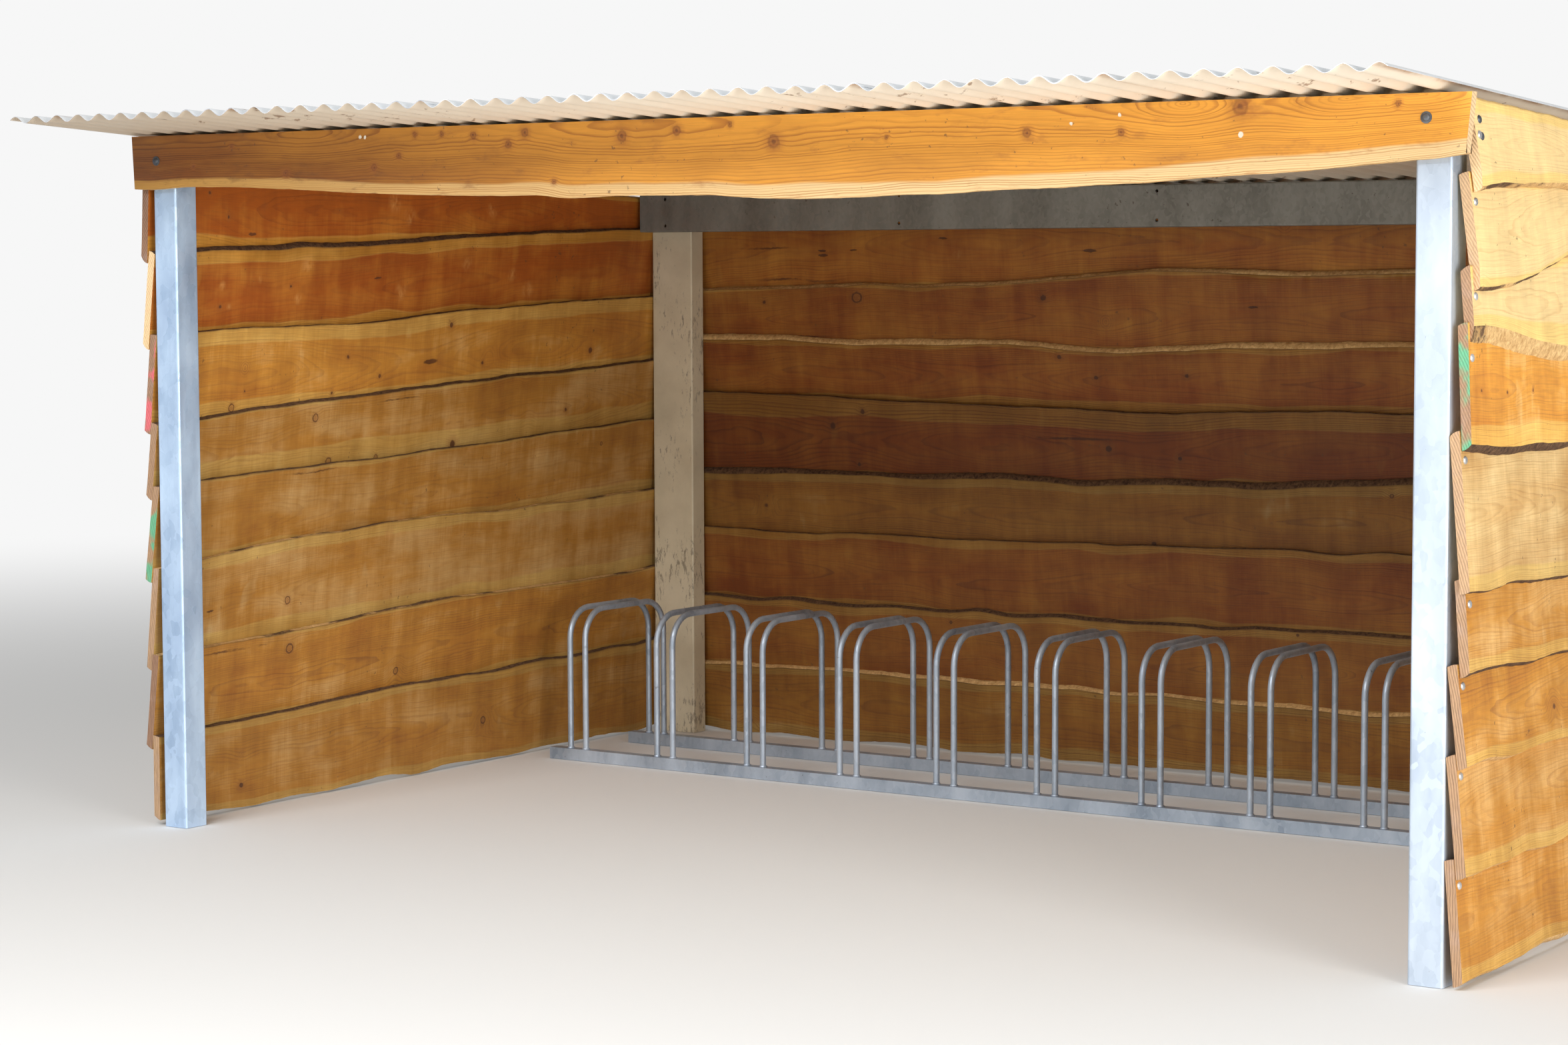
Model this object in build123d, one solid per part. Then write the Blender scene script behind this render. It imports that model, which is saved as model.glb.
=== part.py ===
from build123d import *
import os
from math import asin, atan, atan2, ceil, cos, degrees, pi, radians, sin

# Open-fronted bike shelter, in millimetres.
# +X is to the right seen from the open front, +Y runs in to the back wall, Z = 0 is the ground.
# The origin lies on the ground under the centre of the whole shelter.

# Steel frame
frame_width = 3684
frame_depth = 2292
front_post_size = 80
front_post_wall = 4
front_post_corner = 6
rear_post_web = 155
rear_post_flange = 65
channel_wall = 3
channel_lip = 20
channel_bend = 5
beam_web = 124
beam_flange = 65
front_beam_top = 1853
rear_beam_top = 1735
rear_post_headroom = 10

# Punched holes in the rear beam's web
beam_hole_radius = 5
beam_hole_edge = 20
beam_hole_first = 100
beam_hole_pitch = 880
beam_hole_pairs = 5

# Corrugated roof
wave_pitch = 76
wave_depth = 18
wave_facets = 8
sheet_thickness = 1
sheet_half_waves = 21
sheet_step_waves = 8
sheet_nesting_gap = 0.2
roof_overhang_front = 360
roof_overhang_rear = 119
roof_overhang_left = 126

# Fascia board with a live lower edge
fascia_thickness = 25
fascia_overhang = 52
fascia_end_slant = 12
fascia_depth_at_end = 136
fascia_belly = 56
fascia_ripple = 3
fascia_edge_points = 13

# Lapped wall boards
board_thickness = 22
board_clearance = 0.2
board_lap = 35
board_ground_gap = 8
board_roof_gap = 14
live_edge_depth = 12
corner_gap = 1

# Visible heights of the boards, lowest first, at both ends of each wall.
# Together they are stretched a little to fill the wall.
left_boards_front = (230, 219, 240, 220, 168, 238, 224, 296)
left_boards_rear = (292, 235, 255, 215, 187, 207, 222, 92)
back_boards_left = (220, 215, 216, 184, 243, 185, 161, 286)
back_boards_right = (227, 217, 238, 232, 164, 189, 211, 232)
right_boards_front = (262, 225, 188, 174, 307, 225, 108, 196, 150)
right_boards_rear = (254, 220, 193, 170, 302, 220, 113, 170, 63)

# Bike rack
rack_pitch = 328
rack_side_clearance = 150
rack_back_clearance = 332
places_per_node = 2
rail_size = 35
rail_wall = 2.5
rail_end_beyond_hoop = 60
rail_spacing = 400
hoop_tube_diameter = 18
hoop_gap = 40
hoop_height = 470
hoop_bend_radius = 90
hoop_bend_steps = 3
hoop_sides = 8

# Places worked out from the sizes above
front_beam_back = beam_flange
rear_beam_back = frame_depth - rear_post_flange
rear_beam_front = rear_beam_back - beam_flange
roof_fall = front_beam_top - rear_beam_top
roof_slope = atan2(roof_fall, rear_beam_back - front_beam_back)
roof_run = fascia_thickness + roof_overhang_front + frame_depth + roof_overhang_rear
wave_rise = (wave_depth - sheet_thickness) / 2
wave_steepness = 2 * pi * wave_rise / wave_pitch
sheet_step = sheet_step_waves * wave_pitch
sheet_width = sheet_half_waves * wave_pitch / 2
sheet_count = 1 + ceil((frame_width + roof_overhang_left - sheet_width) / sheet_step)
frame_center_x = (roof_overhang_left - fascia_overhang) / 2
post_front_y = fascia_thickness + roof_overhang_front - roof_run / 2
left_face_x = frame_center_x - frame_width / 2
right_face_x = frame_center_x + frame_width / 2
back_face_y = post_front_y + frame_depth
rack_places = 1 + int((frame_width - 2 * rack_side_clearance) // rack_pitch)
first_place_x = frame_center_x - (rack_places - 1) * rack_pitch / 2
rear_rail_inset = frame_depth - rack_back_clearance
front_rail_inset = rear_rail_inset - rail_spacing


def roof_underside(inset):
    """Height of the lowest line of the roof sheets, at a distance behind the front posts' front face."""
    return front_beam_top - (inset - front_beam_back) * roof_fall / (rear_beam_back - front_beam_back)


def lipped_channel(web, flange):
    """Cold-formed C section, its web along X from 0 and its flanges running in to +Y."""
    outline = make_face(Polyline(
        (0, 0), (web, 0), (web, flange), (web - channel_lip, flange),
        (web - channel_lip, flange - channel_wall), (web - channel_wall, flange - channel_wall),
        (web - channel_wall, channel_wall), (channel_wall, channel_wall),
        (channel_wall, flange - channel_wall), (channel_lip, flange - channel_wall),
        (channel_lip, flange), (0, flange), (0, 0)))
    bends = [v for v in outline.vertices() if v.X in (0, web) and v.Y in (0, flange)]
    return fillet(bends, channel_bend)


def front_post(left_x):
    """Square hollow post that stands on the ground and carries the front beam."""
    height = front_beam_top - beam_web
    inner = front_post_size - 2 * front_post_wall
    section = RectangleRounded(front_post_size, front_post_size, front_post_corner)
    section -= RectangleRounded(inner, inner, front_post_corner - front_post_wall)
    center = (left_x + front_post_size / 2, post_front_y + front_post_size / 2, 0)
    return Pos(*center) * extrude(section, height)


def rear_post(left_x):
    """C-section post with its web towards the front, behind the rear beam."""
    height = rear_beam_top - rear_post_headroom
    section = lipped_channel(rear_post_web, rear_post_flange)
    return Pos(left_x, post_front_y + rear_beam_back, 0) * extrude(section, height)


def beam(inset, top):
    """C-section beam over the width of the frame, its web upright and towards the front."""
    plane = Plane(origin=(left_face_x, post_front_y + inset, top), x_dir=(0, 0, -1), z_dir=(1, 0, 0))
    return plane * extrude(lipped_channel(beam_web, beam_flange), frame_width)


def rear_beam():
    piece = beam(rear_beam_front, rear_beam_top)
    for pair in range(beam_hole_pairs):
        x = left_face_x + beam_hole_first + pair * beam_hole_pitch
        for z in (rear_beam_top - beam_hole_edge, rear_beam_top - beam_web + beam_hole_edge):
            axis = Plane(origin=(x, post_front_y + rear_beam_front, z), z_dir=(0, 1, 0))
            piece -= axis * Cylinder(beam_hole_radius, 4 * channel_wall)
    return piece


def wave_line(offset):
    """Points of a sheet's wave from its left edge to its right one, at a distance above mid thickness."""
    points = []
    for i in range(wave_facets * sheet_half_waves // 2 + 1):
        turn = 2 * pi * i / wave_facets
        slope = atan(wave_steepness * cos(turn))
        x = i * wave_pitch / wave_facets - offset * sin(slope)
        points.append((x, wave_rise * sin(turn) + offset * cos(slope)))
    return points


def roof_sheet(number):
    """One corrugated sheet. Every second sheet lies over its neighbours."""
    outline = wave_line(sheet_thickness / 2) + wave_line(-sheet_thickness / 2)[::-1]
    section = make_face(Polyline(*outline, outline[0]))
    lift = (number % 2) * (sheet_thickness + sheet_nesting_gap) / cos(atan(wave_steepness))
    front_inset = -fascia_thickness - roof_overhang_front
    front_z = roof_underside(front_inset) + wave_depth / 2 / cos(roof_slope)
    left_x = left_face_x - roof_overhang_left + number * sheet_step
    plane = Plane(origin=(left_x, post_front_y + front_inset, front_z + lift), x_dir=(1, 0, 0),
                  z_dir=(0, -cos(roof_slope), sin(roof_slope)))
    return plane * extrude(section, -roof_run / cos(roof_slope))


def fascia_edge(along):
    """Depth of the fascia's live edge, at a share of the way from its left end to its right one."""
    belly = fascia_belly * sin(pi * along) ** 1.3
    ripple = fascia_ripple * (sin(7 * pi * along) + sin(17 * along) / 1.5)
    return fascia_depth_at_end + belly + ripple


def fascia_board():
    """Board across the front, straight on top, its live lower edge hanging deepest near the middle."""
    half_top = frame_width / 2 + fascia_overhang
    half_bottom = half_top - fascia_end_slant
    shares = [i / (fascia_edge_points - 1) for i in range(fascia_edge_points)]
    lower = Spline(*[(half_bottom * (2 * along - 1), -fascia_edge(along)) for along in shares])
    outline = make_face(Wire([
        lower,
        Line(lower @ 1, (half_top, 0)),
        Line((half_top, 0), (-half_top, 0)),
        Line((-half_top, 0), lower @ 0)]))
    plane = Plane(origin=(frame_center_x, post_front_y, front_beam_top), x_dir=(1, 0, 0), z_dir=(0, -1, 0))
    return plane * extrude(outline, fascia_thickness)


def live_edge(length, ends, depth, number):
    """Edge between two end heights, which swings off the straight line by up to depth."""
    point_count = 4 + number % 2
    points = []
    for i in range(point_count):
        along = i / (point_count - 1)
        swing = depth * (0.7 + 0.3 * sin(3 * number + i)) if 0 < i < point_count - 1 else 0
        points.append((length * along, ends[0] + (ends[1] - ends[0]) * along + swing))
    return Spline(*points)


def wall_board(length, bottom, top, hinge, lean, number):
    """Board in wall coordinates: X along the wall, Y outwards from the posts, Z up.

    bottom, top and hinge are pairs of heights at the two ends. The board leans out about its
    hinge line, which lies in the posts' outer plane.
    """
    upper = live_edge(length, top, -live_edge_depth, number)
    lower = live_edge(length, bottom, live_edge_depth, number + 1)
    outline = Plane.XZ * make_face(Wire([
        upper, Line(upper @ 1, lower @ 1), lower, Line(lower @ 0, upper @ 0)]))
    hinge_line = Axis((0, 0, hinge[0]), (length, 0, hinge[1] - hinge[0]))
    return extrude(outline, board_thickness, dir=(0, 1, 0)).rotate(hinge_line, degrees(lean))


def lap_heights(boards, top):
    """Heights of the upper ends of the boards' visible parts, which share the wall's height."""
    stretch = (top - board_ground_gap) / sum(boards)
    return [board_ground_gap + stretch * sum(boards[:number + 1]) for number in range(len(boards))]


def wall_boards(name, plane, length, boards_start, boards_end, top_start, top_end):
    """All boards of one wall by node name, lowest first, each lapped over the one below."""
    tops = zip(lap_heights(boards_start, top_start), lap_heights(boards_end, top_end))
    below = (board_ground_gap, board_ground_gap)
    lower_hinge = below
    lower_sine = 0
    boards = {}
    for number, top in enumerate(tops):
        exposure = max(top[0] - below[0], top[1] - below[1])
        hinge = (below[0] + exposure, below[1] + exposure)
        bottom = (below[0] - board_lap, below[1] - board_lap) if number else below
        sines = []
        for end in range(2):
            rise = hinge[end] - lower_hinge[end]
            slack = lower_hinge[end] - below[end]
            for reach in (slack, slack + board_lap + live_edge_depth):
                offset = board_thickness + board_clearance + reach * lower_sine
                sines.append(offset / (rise + reach))
        sine = max(sines)
        board = wall_board(length, bottom, top, hinge, asin(sine), number)
        boards[f"{name}_board_{number + 1}"] = plane * board
        below, lower_hinge, lower_sine = top, hinge, sine
    return boards


def walls():
    side_length = frame_depth + 2 * board_thickness + board_lap
    side_front_y = post_front_y + corner_gap
    left = Plane(origin=(left_face_x, side_front_y, 0), x_dir=(0, 1, 0), z_dir=(0, 0, 1))
    right = Plane(origin=(right_face_x, side_front_y + side_length, 0), x_dir=(0, -1, 0), z_dir=(0, 0, 1))
    back = Plane(origin=(left_face_x + corner_gap, back_face_y, 0), x_dir=(1, 0, 0), z_dir=(0, 0, 1))
    top_front = roof_underside(0) - board_roof_gap
    top_rear = roof_underside(side_length) - board_roof_gap
    top_back = roof_underside(frame_depth) - board_roof_gap
    boards = wall_boards("left_wall", left, side_length,
                         left_boards_front, left_boards_rear, top_front, top_rear)
    boards |= wall_boards("right_wall", right, side_length,
                          right_boards_rear, right_boards_front, top_rear, top_front)
    boards |= wall_boards("back_wall", back, frame_width - 2 * corner_gap,
                          back_boards_left, back_boards_right, top_back, top_back)
    return boards


def rack_rail(inset):
    """Square hollow ground rail along the back wall, standing on the ground."""
    length = (rack_places - 1) * rack_pitch + hoop_gap + 2 * hoop_tube_diameter + 2 * rail_end_beyond_hoop
    section = Rectangle(rail_size, rail_size) - Rectangle(rail_size - 2 * rail_wall, rail_size - 2 * rail_wall)
    plane = Plane(origin=(frame_center_x - length / 2, post_front_y + inset, rail_size / 2), z_dir=(1, 0, 0))
    return plane * extrude(section, length)


def rack_hoop(x):
    """Bent tube from the front rail up, back and down to the rear rail, each bend in short mitred steps."""
    front_y = post_front_y + front_rail_inset
    radius = hoop_tube_diameter / 2
    bend_z = hoop_height - radius - hoop_bend_radius
    bends = []
    for y, start in ((front_y + hoop_bend_radius, 180), (front_y + rail_spacing - hoop_bend_radius, 90)):
        for step in range(hoop_bend_steps + 1):
            turn = radians(start - 90 * step / hoop_bend_steps)
            bends.append((x, y + hoop_bend_radius * cos(turn), bend_z + hoop_bend_radius * sin(turn)))
    path = Polyline((x, front_y, rail_size), *bends, (x, front_y + rail_spacing, rail_size))
    section = RegularPolygon(radius, hoop_sides, major_radius=False)
    return sweep(Plane(origin=path @ 0, z_dir=(0, 0, 1)) * section, path=path, transition=Transition.RIGHT)


def rack_hoops():
    """Two hoops at each wheel place, grouped by places in nodes."""
    half_gap = (hoop_gap + hoop_tube_diameter) / 2
    nodes = {}
    for place in range(rack_places):
        x = first_place_x + place * rack_pitch
        node = f"rack_hoops_{place // places_per_node + 1}"
        nodes.setdefault(node, []).extend([rack_hoop(x - half_gap), rack_hoop(x + half_gap)])
    return {node: Compound(hoops) for node, hoops in nodes.items()}


def shelter():
    parts = {
        "front_left_post": front_post(left_face_x),
        "front_right_post": front_post(right_face_x - front_post_size),
        "rear_left_post": rear_post(left_face_x),
        "rear_right_post": rear_post(right_face_x - rear_post_web),
        "front_beam": beam(0, front_beam_top),
        "rear_beam": rear_beam(),
        "fascia_board": fascia_board(),
        "rack_front_rail": rack_rail(front_rail_inset),
        "rack_rear_rail": rack_rail(rear_rail_inset),
    }
    for number in range(sheet_count):
        parts[f"roof_sheet_{number + 1}"] = roof_sheet(number)
    parts |= walls()
    parts |= rack_hoops()
    return parts


os.makedirs("parts", exist_ok=True)
for node, solid in shelter().items():
    export_step(solid, f"parts/{node}.step")
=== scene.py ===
import math
import random

import bmesh
import bpy
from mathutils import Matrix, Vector, noise


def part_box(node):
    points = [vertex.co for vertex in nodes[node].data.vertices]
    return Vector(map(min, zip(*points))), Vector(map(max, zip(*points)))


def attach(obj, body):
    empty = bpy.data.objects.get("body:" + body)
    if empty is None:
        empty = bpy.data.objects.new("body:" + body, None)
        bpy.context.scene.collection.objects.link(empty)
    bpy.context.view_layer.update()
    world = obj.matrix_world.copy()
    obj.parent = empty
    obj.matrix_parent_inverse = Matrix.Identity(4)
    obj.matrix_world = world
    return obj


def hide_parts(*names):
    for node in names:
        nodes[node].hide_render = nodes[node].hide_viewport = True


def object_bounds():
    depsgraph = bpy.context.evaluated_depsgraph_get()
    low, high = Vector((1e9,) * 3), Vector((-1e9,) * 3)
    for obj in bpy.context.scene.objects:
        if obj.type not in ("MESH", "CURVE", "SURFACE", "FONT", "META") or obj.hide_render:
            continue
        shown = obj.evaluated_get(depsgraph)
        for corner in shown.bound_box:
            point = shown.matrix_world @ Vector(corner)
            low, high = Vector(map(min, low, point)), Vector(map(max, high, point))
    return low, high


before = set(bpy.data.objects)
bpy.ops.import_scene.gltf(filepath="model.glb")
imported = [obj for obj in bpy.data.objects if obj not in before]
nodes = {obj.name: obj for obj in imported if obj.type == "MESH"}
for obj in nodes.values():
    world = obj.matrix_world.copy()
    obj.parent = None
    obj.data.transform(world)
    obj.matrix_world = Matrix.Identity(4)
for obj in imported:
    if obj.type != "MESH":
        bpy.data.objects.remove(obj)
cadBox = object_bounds()


# Editing by place

def alone(piece):
    bpy.ops.object.select_all(action="DESELECT")
    bpy.context.view_layer.objects.active = piece
    piece.select_set(True)


def startEdit(piece, choice="DESELECT"):
    alone(piece)
    bpy.ops.object.mode_set(mode="EDIT")
    bpy.ops.mesh.select_mode(type="VERT")
    bpy.ops.mesh.select_all(action=choice)


def stopEdit():
    bpy.ops.object.mode_set(mode="OBJECT")


def pick(piece, wanted):  # selects the vertices whose place is wanted
    shape = bmesh.from_edit_mesh(piece.data)
    for vertex in shape.verts:
        vertex.select_set(bool(wanted(vertex.co)))
    shape.select_flush_mode()
    bmesh.update_edit_mesh(piece.data)


def applyPlace(piece):
    alone(piece)
    bpy.ops.object.transform_apply(location=True, rotation=True, scale=True)


def applyModifier(piece, kind, name, **settings):
    alone(piece)
    modifier = piece.modifiers.new(name, kind)
    for key, value in settings.items():
        setattr(modifier, key, value)
    bpy.ops.object.modifier_apply(modifier=modifier.name)


def copyPiece(piece, name, shift=(0, 0, 0)):
    alone(piece)
    bpy.ops.object.duplicate(linked=False)
    twin = bpy.context.object
    twin.name = name
    startEdit(twin, "SELECT")
    bpy.ops.transform.translate(value=shift)
    stopEdit()
    return twin


def joinPieces(pieces, name):
    bpy.ops.object.select_all(action="DESELECT")
    for piece in pieces:
        piece.select_set(True)
    bpy.context.view_layer.objects.active = pieces[0]
    if len(pieces) > 1:
        bpy.ops.object.join()
    pieces[0].name = name
    return pieces[0]


def smooth(piece, degrees=35):
    alone(piece)
    bpy.ops.object.shade_smooth_by_angle(angle=math.radians(degrees))


def dress(piece, *materials):
    piece.data.materials.clear()
    for material in materials:
        piece.data.materials.append(material)


def fit(piece, slot, *replaced):
    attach(piece, "root")
    if replaced:
        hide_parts(*replaced)


# Node helpers, which all work on the node tree started last

work = {}


def startTree(tree):
    tree.nodes.clear()
    work["tree"] = tree


def link(source, target):
    work["tree"].links.new(source, target)


def feed(socket, value):
    if isinstance(value, bpy.types.NodeSocket):
        link(value, socket)
    else:
        socket.default_value = value


def put(kind, feeds=None, **settings):
    node = work["tree"].nodes.new("ShaderNode" + kind)
    for key, value in settings.items():
        setattr(node, key, value)
    for key, value in (feeds or {}).items():
        feed(node.inputs[key], value)
    return node


def calc(operation, a, b=0.0, c=0.0, clamp=False):
    return put("Math", {0: a, 1: b, 2: c}, operation=operation, use_clamp=clamp).outputs[0]


def plus(a, b):
    return calc("ADD", a, b)


def minus(a, b):
    return calc("SUBTRACT", a, b)


def times(a, b):
    return calc("MULTIPLY", a, b)


def timesPlus(a, b, c):
    return calc("MULTIPLY_ADD", a, b, c)


def span(value, low, high, a=0.0, b=1.0, way="LINEAR"):  # straight change from a to b
    limits = {"From Min": low, "From Max": high, "To Min": a, "To Max": b}
    return put("MapRange", {"Value": value, **limits}, interpolation_type=way).outputs[0]


def step(value, low, high, a=0.0, b=1.0):  # soft step from a to b
    return span(value, low, high, a, b, "SMOOTHSTEP")


def swing(value, low=0.3, high=0.7):
    return span(value, low, high, -0.5, 0.5)


def tint(share, first, second, way="MIX"):
    mix = put("Mix", data_type="RGBA", blend_type=way, clamp_factor=True)
    for number, value in ((0, share), (6, first), (7, second)):
        feed(mix.inputs[number], (*value, 1) if isinstance(value, tuple) else value)
    return mix.outputs[2]


def layer(colour, *coats):  # lays tints over a colour, each with its share
    for share, coat in coats:
        colour = tint(share, colour, coat)
    return colour


def darken(colour, amount):
    return tint(1.0, colour, put("CombineColor", {0: amount, 1: amount, 2: amount}).outputs[0], "MULTIPLY")


def cloud(place, scale, detail=2.0, rough=0.5, distort=0.0):
    values = {"Scale": scale, "Detail": detail, "Roughness": rough, "Distortion": distort}
    return put("TexNoise", {"Vector": place, **values}).outputs[0]


def stretch(place, scale=(1, 1, 1), move=(0, 0, 0), turn=(0, 0, 0)):
    return put("Mapping", {"Vector": place, "Scale": scale, "Location": move, "Rotation": turn}).outputs[0]


def vector(x, y, z=0.0):
    return put("CombineXYZ", {0: x, 1: y, 2: z}).outputs[0]


def split(value, kind="XYZ"):
    return put("Separate" + kind, {0: value}).outputs


def uvPlace():
    return split(put("UVMap", uv_map="UVMap").outputs[0])


def here():
    return put("TexCoord").outputs["Object"]


def fact(name, output="Fac"):
    return put("Attribute", attribute_name=name).outputs[output]


def startGroup(name, inputs, outputs):
    group = bpy.data.node_groups.new(name, "ShaderNodeTree")
    startTree(group)
    for label, kind, value in inputs:
        socket = group.interface.new_socket(name=label, in_out="INPUT", socket_type="NodeSocket" + kind)
        if value is not None:
            socket.default_value = value
    for label in outputs:
        group.interface.new_socket(name=label, in_out="OUTPUT", socket_type="NodeSocketFloat")
    return group, group.nodes.new("NodeGroupInput").outputs, group.nodes.new("NodeGroupOutput").inputs


def useGroup(group, feeds):
    return put("Group", feeds, node_tree=group).outputs


def startMaterial(name):
    material = bpy.data.materials.new(name)
    material.use_nodes = True
    startTree(material.node_tree)
    shader = put("BsdfPrincipled")
    link(shader.outputs[0], put("OutputMaterial").inputs[0])
    return material, shader


def relief(shader, height, distance, strength=1.0):
    bump = put("Bump", {"Height": height, "Distance": distance, "Strength": strength})
    link(bump.outputs[0], shader.inputs["Normal"])


# Shared effects

knotCells = {"scale": 4.2, "small": 0.004, "large": 0.013, "bulge": 1.6}


def makeWoodFigure():  # growth rings of a plank sawn through the log, with knots
    group, given, made = startGroup("woodFigure", [
        ("Place", "Vector", None), ("Depth", "Float", 0.04), ("Ring", "Float", 0.0045),
        ("Knots", "Float", 0.4),
    ], ["Late", "Fibre", "Knot", "Rim", "Mottle"])
    place = given["Place"]
    along, across, seed = split(place)
    sway = cloud(vector(times(along, 1.3), seed), 1.0, 1.0)
    across = timesPlus(minus(sway, 0.5), 0.06, across)
    lens = cloud(vector(times(along, 0.8), plus(seed, 9.0)), 1.0, 1.5)
    depth = timesPlus(minus(lens, 0.5), 0.14, given["Depth"])
    radius = calc("SQRT", plus(times(across, across), times(depth, depth)))
    wobble = cloud(stretch(place, (7, 26, 1)), 1.0, 2.0)
    radius = timesPlus(minus(wobble, 0.5), 0.009, radius)
    cells, border = [put("TexVoronoi", {"Vector": place, "Scale": knotCells["scale"]},
                         feature=feature).outputs for feature in ("F1", "DISTANCE_TO_EDGE")]
    luck = split(cells["Color"], "Color")
    chosen = calc("LESS_THAN", luck[0], given["Knots"])
    chosen = times(chosen, step(border["Distance"], 0.01, 0.12))
    fromKnot = calc("DIVIDE", cells["Distance"], knotCells["scale"])
    knotSize = span(luck[1], 0.0, 1.0, knotCells["small"], knotCells["large"])
    swell = step(fromKnot, 0.0, times(knotSize, 5.0), 1.0, 0.0)
    radius = plus(radius, times(swell, times(chosen, times(knotSize, knotCells["bulge"]))))
    core = step(fromKnot, times(knotSize, 0.7), times(knotSize, 1.15), 1.0, 0.0)
    link(times(core, chosen), made["Knot"])
    rim = calc("DIVIDE", fromKnot, knotSize)
    rim = times(step(rim, 0.7, 0.85), step(rim, 0.95, 1.15, 1.0, 0.0))
    link(times(rim, chosen), made["Rim"])
    link(cloud(stretch(place, (2.2, 9, 1)), 1.0, 4.0, 0.6), made["Mottle"])
    phase = calc("DIVIDE", radius, given["Ring"])
    uneven = put("TexNoise", {"W": phase, "Scale": 0.23, "Detail": 1.0}, noise_dimensions="1D").outputs[0]
    phase = timesPlus(uneven, 3.0, phase)
    grown = calc("FRACT", phase)
    year = put("TexWhiteNoise", {"W": plus(calc("FLOOR", phase), seed)}, noise_dimensions="1D").outputs[0]
    late = times(step(grown, 0.45, 0.9), step(grown, 0.93, 1.0, 1.0, 0.0))
    link(times(late, span(year, 0.0, 1.0, 0.3, 1.0)), made["Late"])
    link(cloud(stretch(place, (9, 420, 1)), 1.0, 3.0, 0.6), made["Fibre"])
    return group


def makeSawMarks():  # fine upright ripples that the band saw leaves
    group, given, made = startGroup("sawMarks", [("Place", "Vector", None)], ["Ripple"])
    fine = cloud(stretch(given["Place"], (240, 5, 1)), 1.0, 2.0)
    broad = cloud(stretch(given["Place"], (36, 2, 1), (3, 0, 0)), 1.0, 2.0)
    link(times(plus(fine, broad), 0.5), made["Ripple"])
    return group


def makeGrimeAndShade():  # specks, smudges, and a cloudy film that paints shade over the fascia's left end
    group, given, made = startGroup("grimeAndShade", [("Place", "Vector", None), ("Specks", "Float", 0.5)],
                                    ["Specks", "Film"])
    dots = cloud(given["Place"], 55.0, 3.0, 0.65)
    where = cloud(given["Place"], 3.2, 3.0, 0.6)
    dots = step(timesPlus(where, 0.35, dots), timesPlus(given["Specks"], -0.2, 0.94),
                timesPlus(given["Specks"], -0.2, 1.0))
    link(dots, made["Specks"])
    link(cloud(given["Place"], 1.7, 5.0, 0.65), made["Film"])
    return group


woodFigure = makeWoodFigure()
sawMarks = makeSawMarks()
grimeAndShade = makeGrimeAndShade()


# Wood

walls = {
    "left": {"along": Vector((0, 1, 0)), "out": Vector((-1, 0, 0)), "count": 8, "seed": 10},
    "right": {"along": Vector((0, 1, 0)), "out": Vector((1, 0, 0)), "count": 9, "seed": 30},
    "back": {"along": Vector((1, 0, 0)), "out": Vector((0, 1, 0)), "count": 8, "seed": 50},
}
larch = {
    "deep": (0.45, 0.105, 0.005), "middle": (0.66, 0.29, 0.037), "pale": (0.88, 0.63, 0.29),
    "knot": (0.13, 0.04, 0.012),
    "sapDeep": (0.64, 0.31, 0.035), "sapPale": (0.88, 0.6, 0.18), "wane": (0.42, 0.22, 0.07),
    "waneSap": (0.86, 0.59, 0.27),
    "bark": (0.04, 0.015, 0.005), "barkFlake": (0.22, 0.12, 0.055), "lateDeep": (0.22, 0.045, 0.006),
    "latePale": (0.5, 0.24, 0.065), "whorl": (0.3, 0.1, 0.025), "endDark": (0.25, 0.125, 0.08),
    "endPale": (0.84, 0.58, 0.32),
    "rough": 0.62,
}
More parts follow.
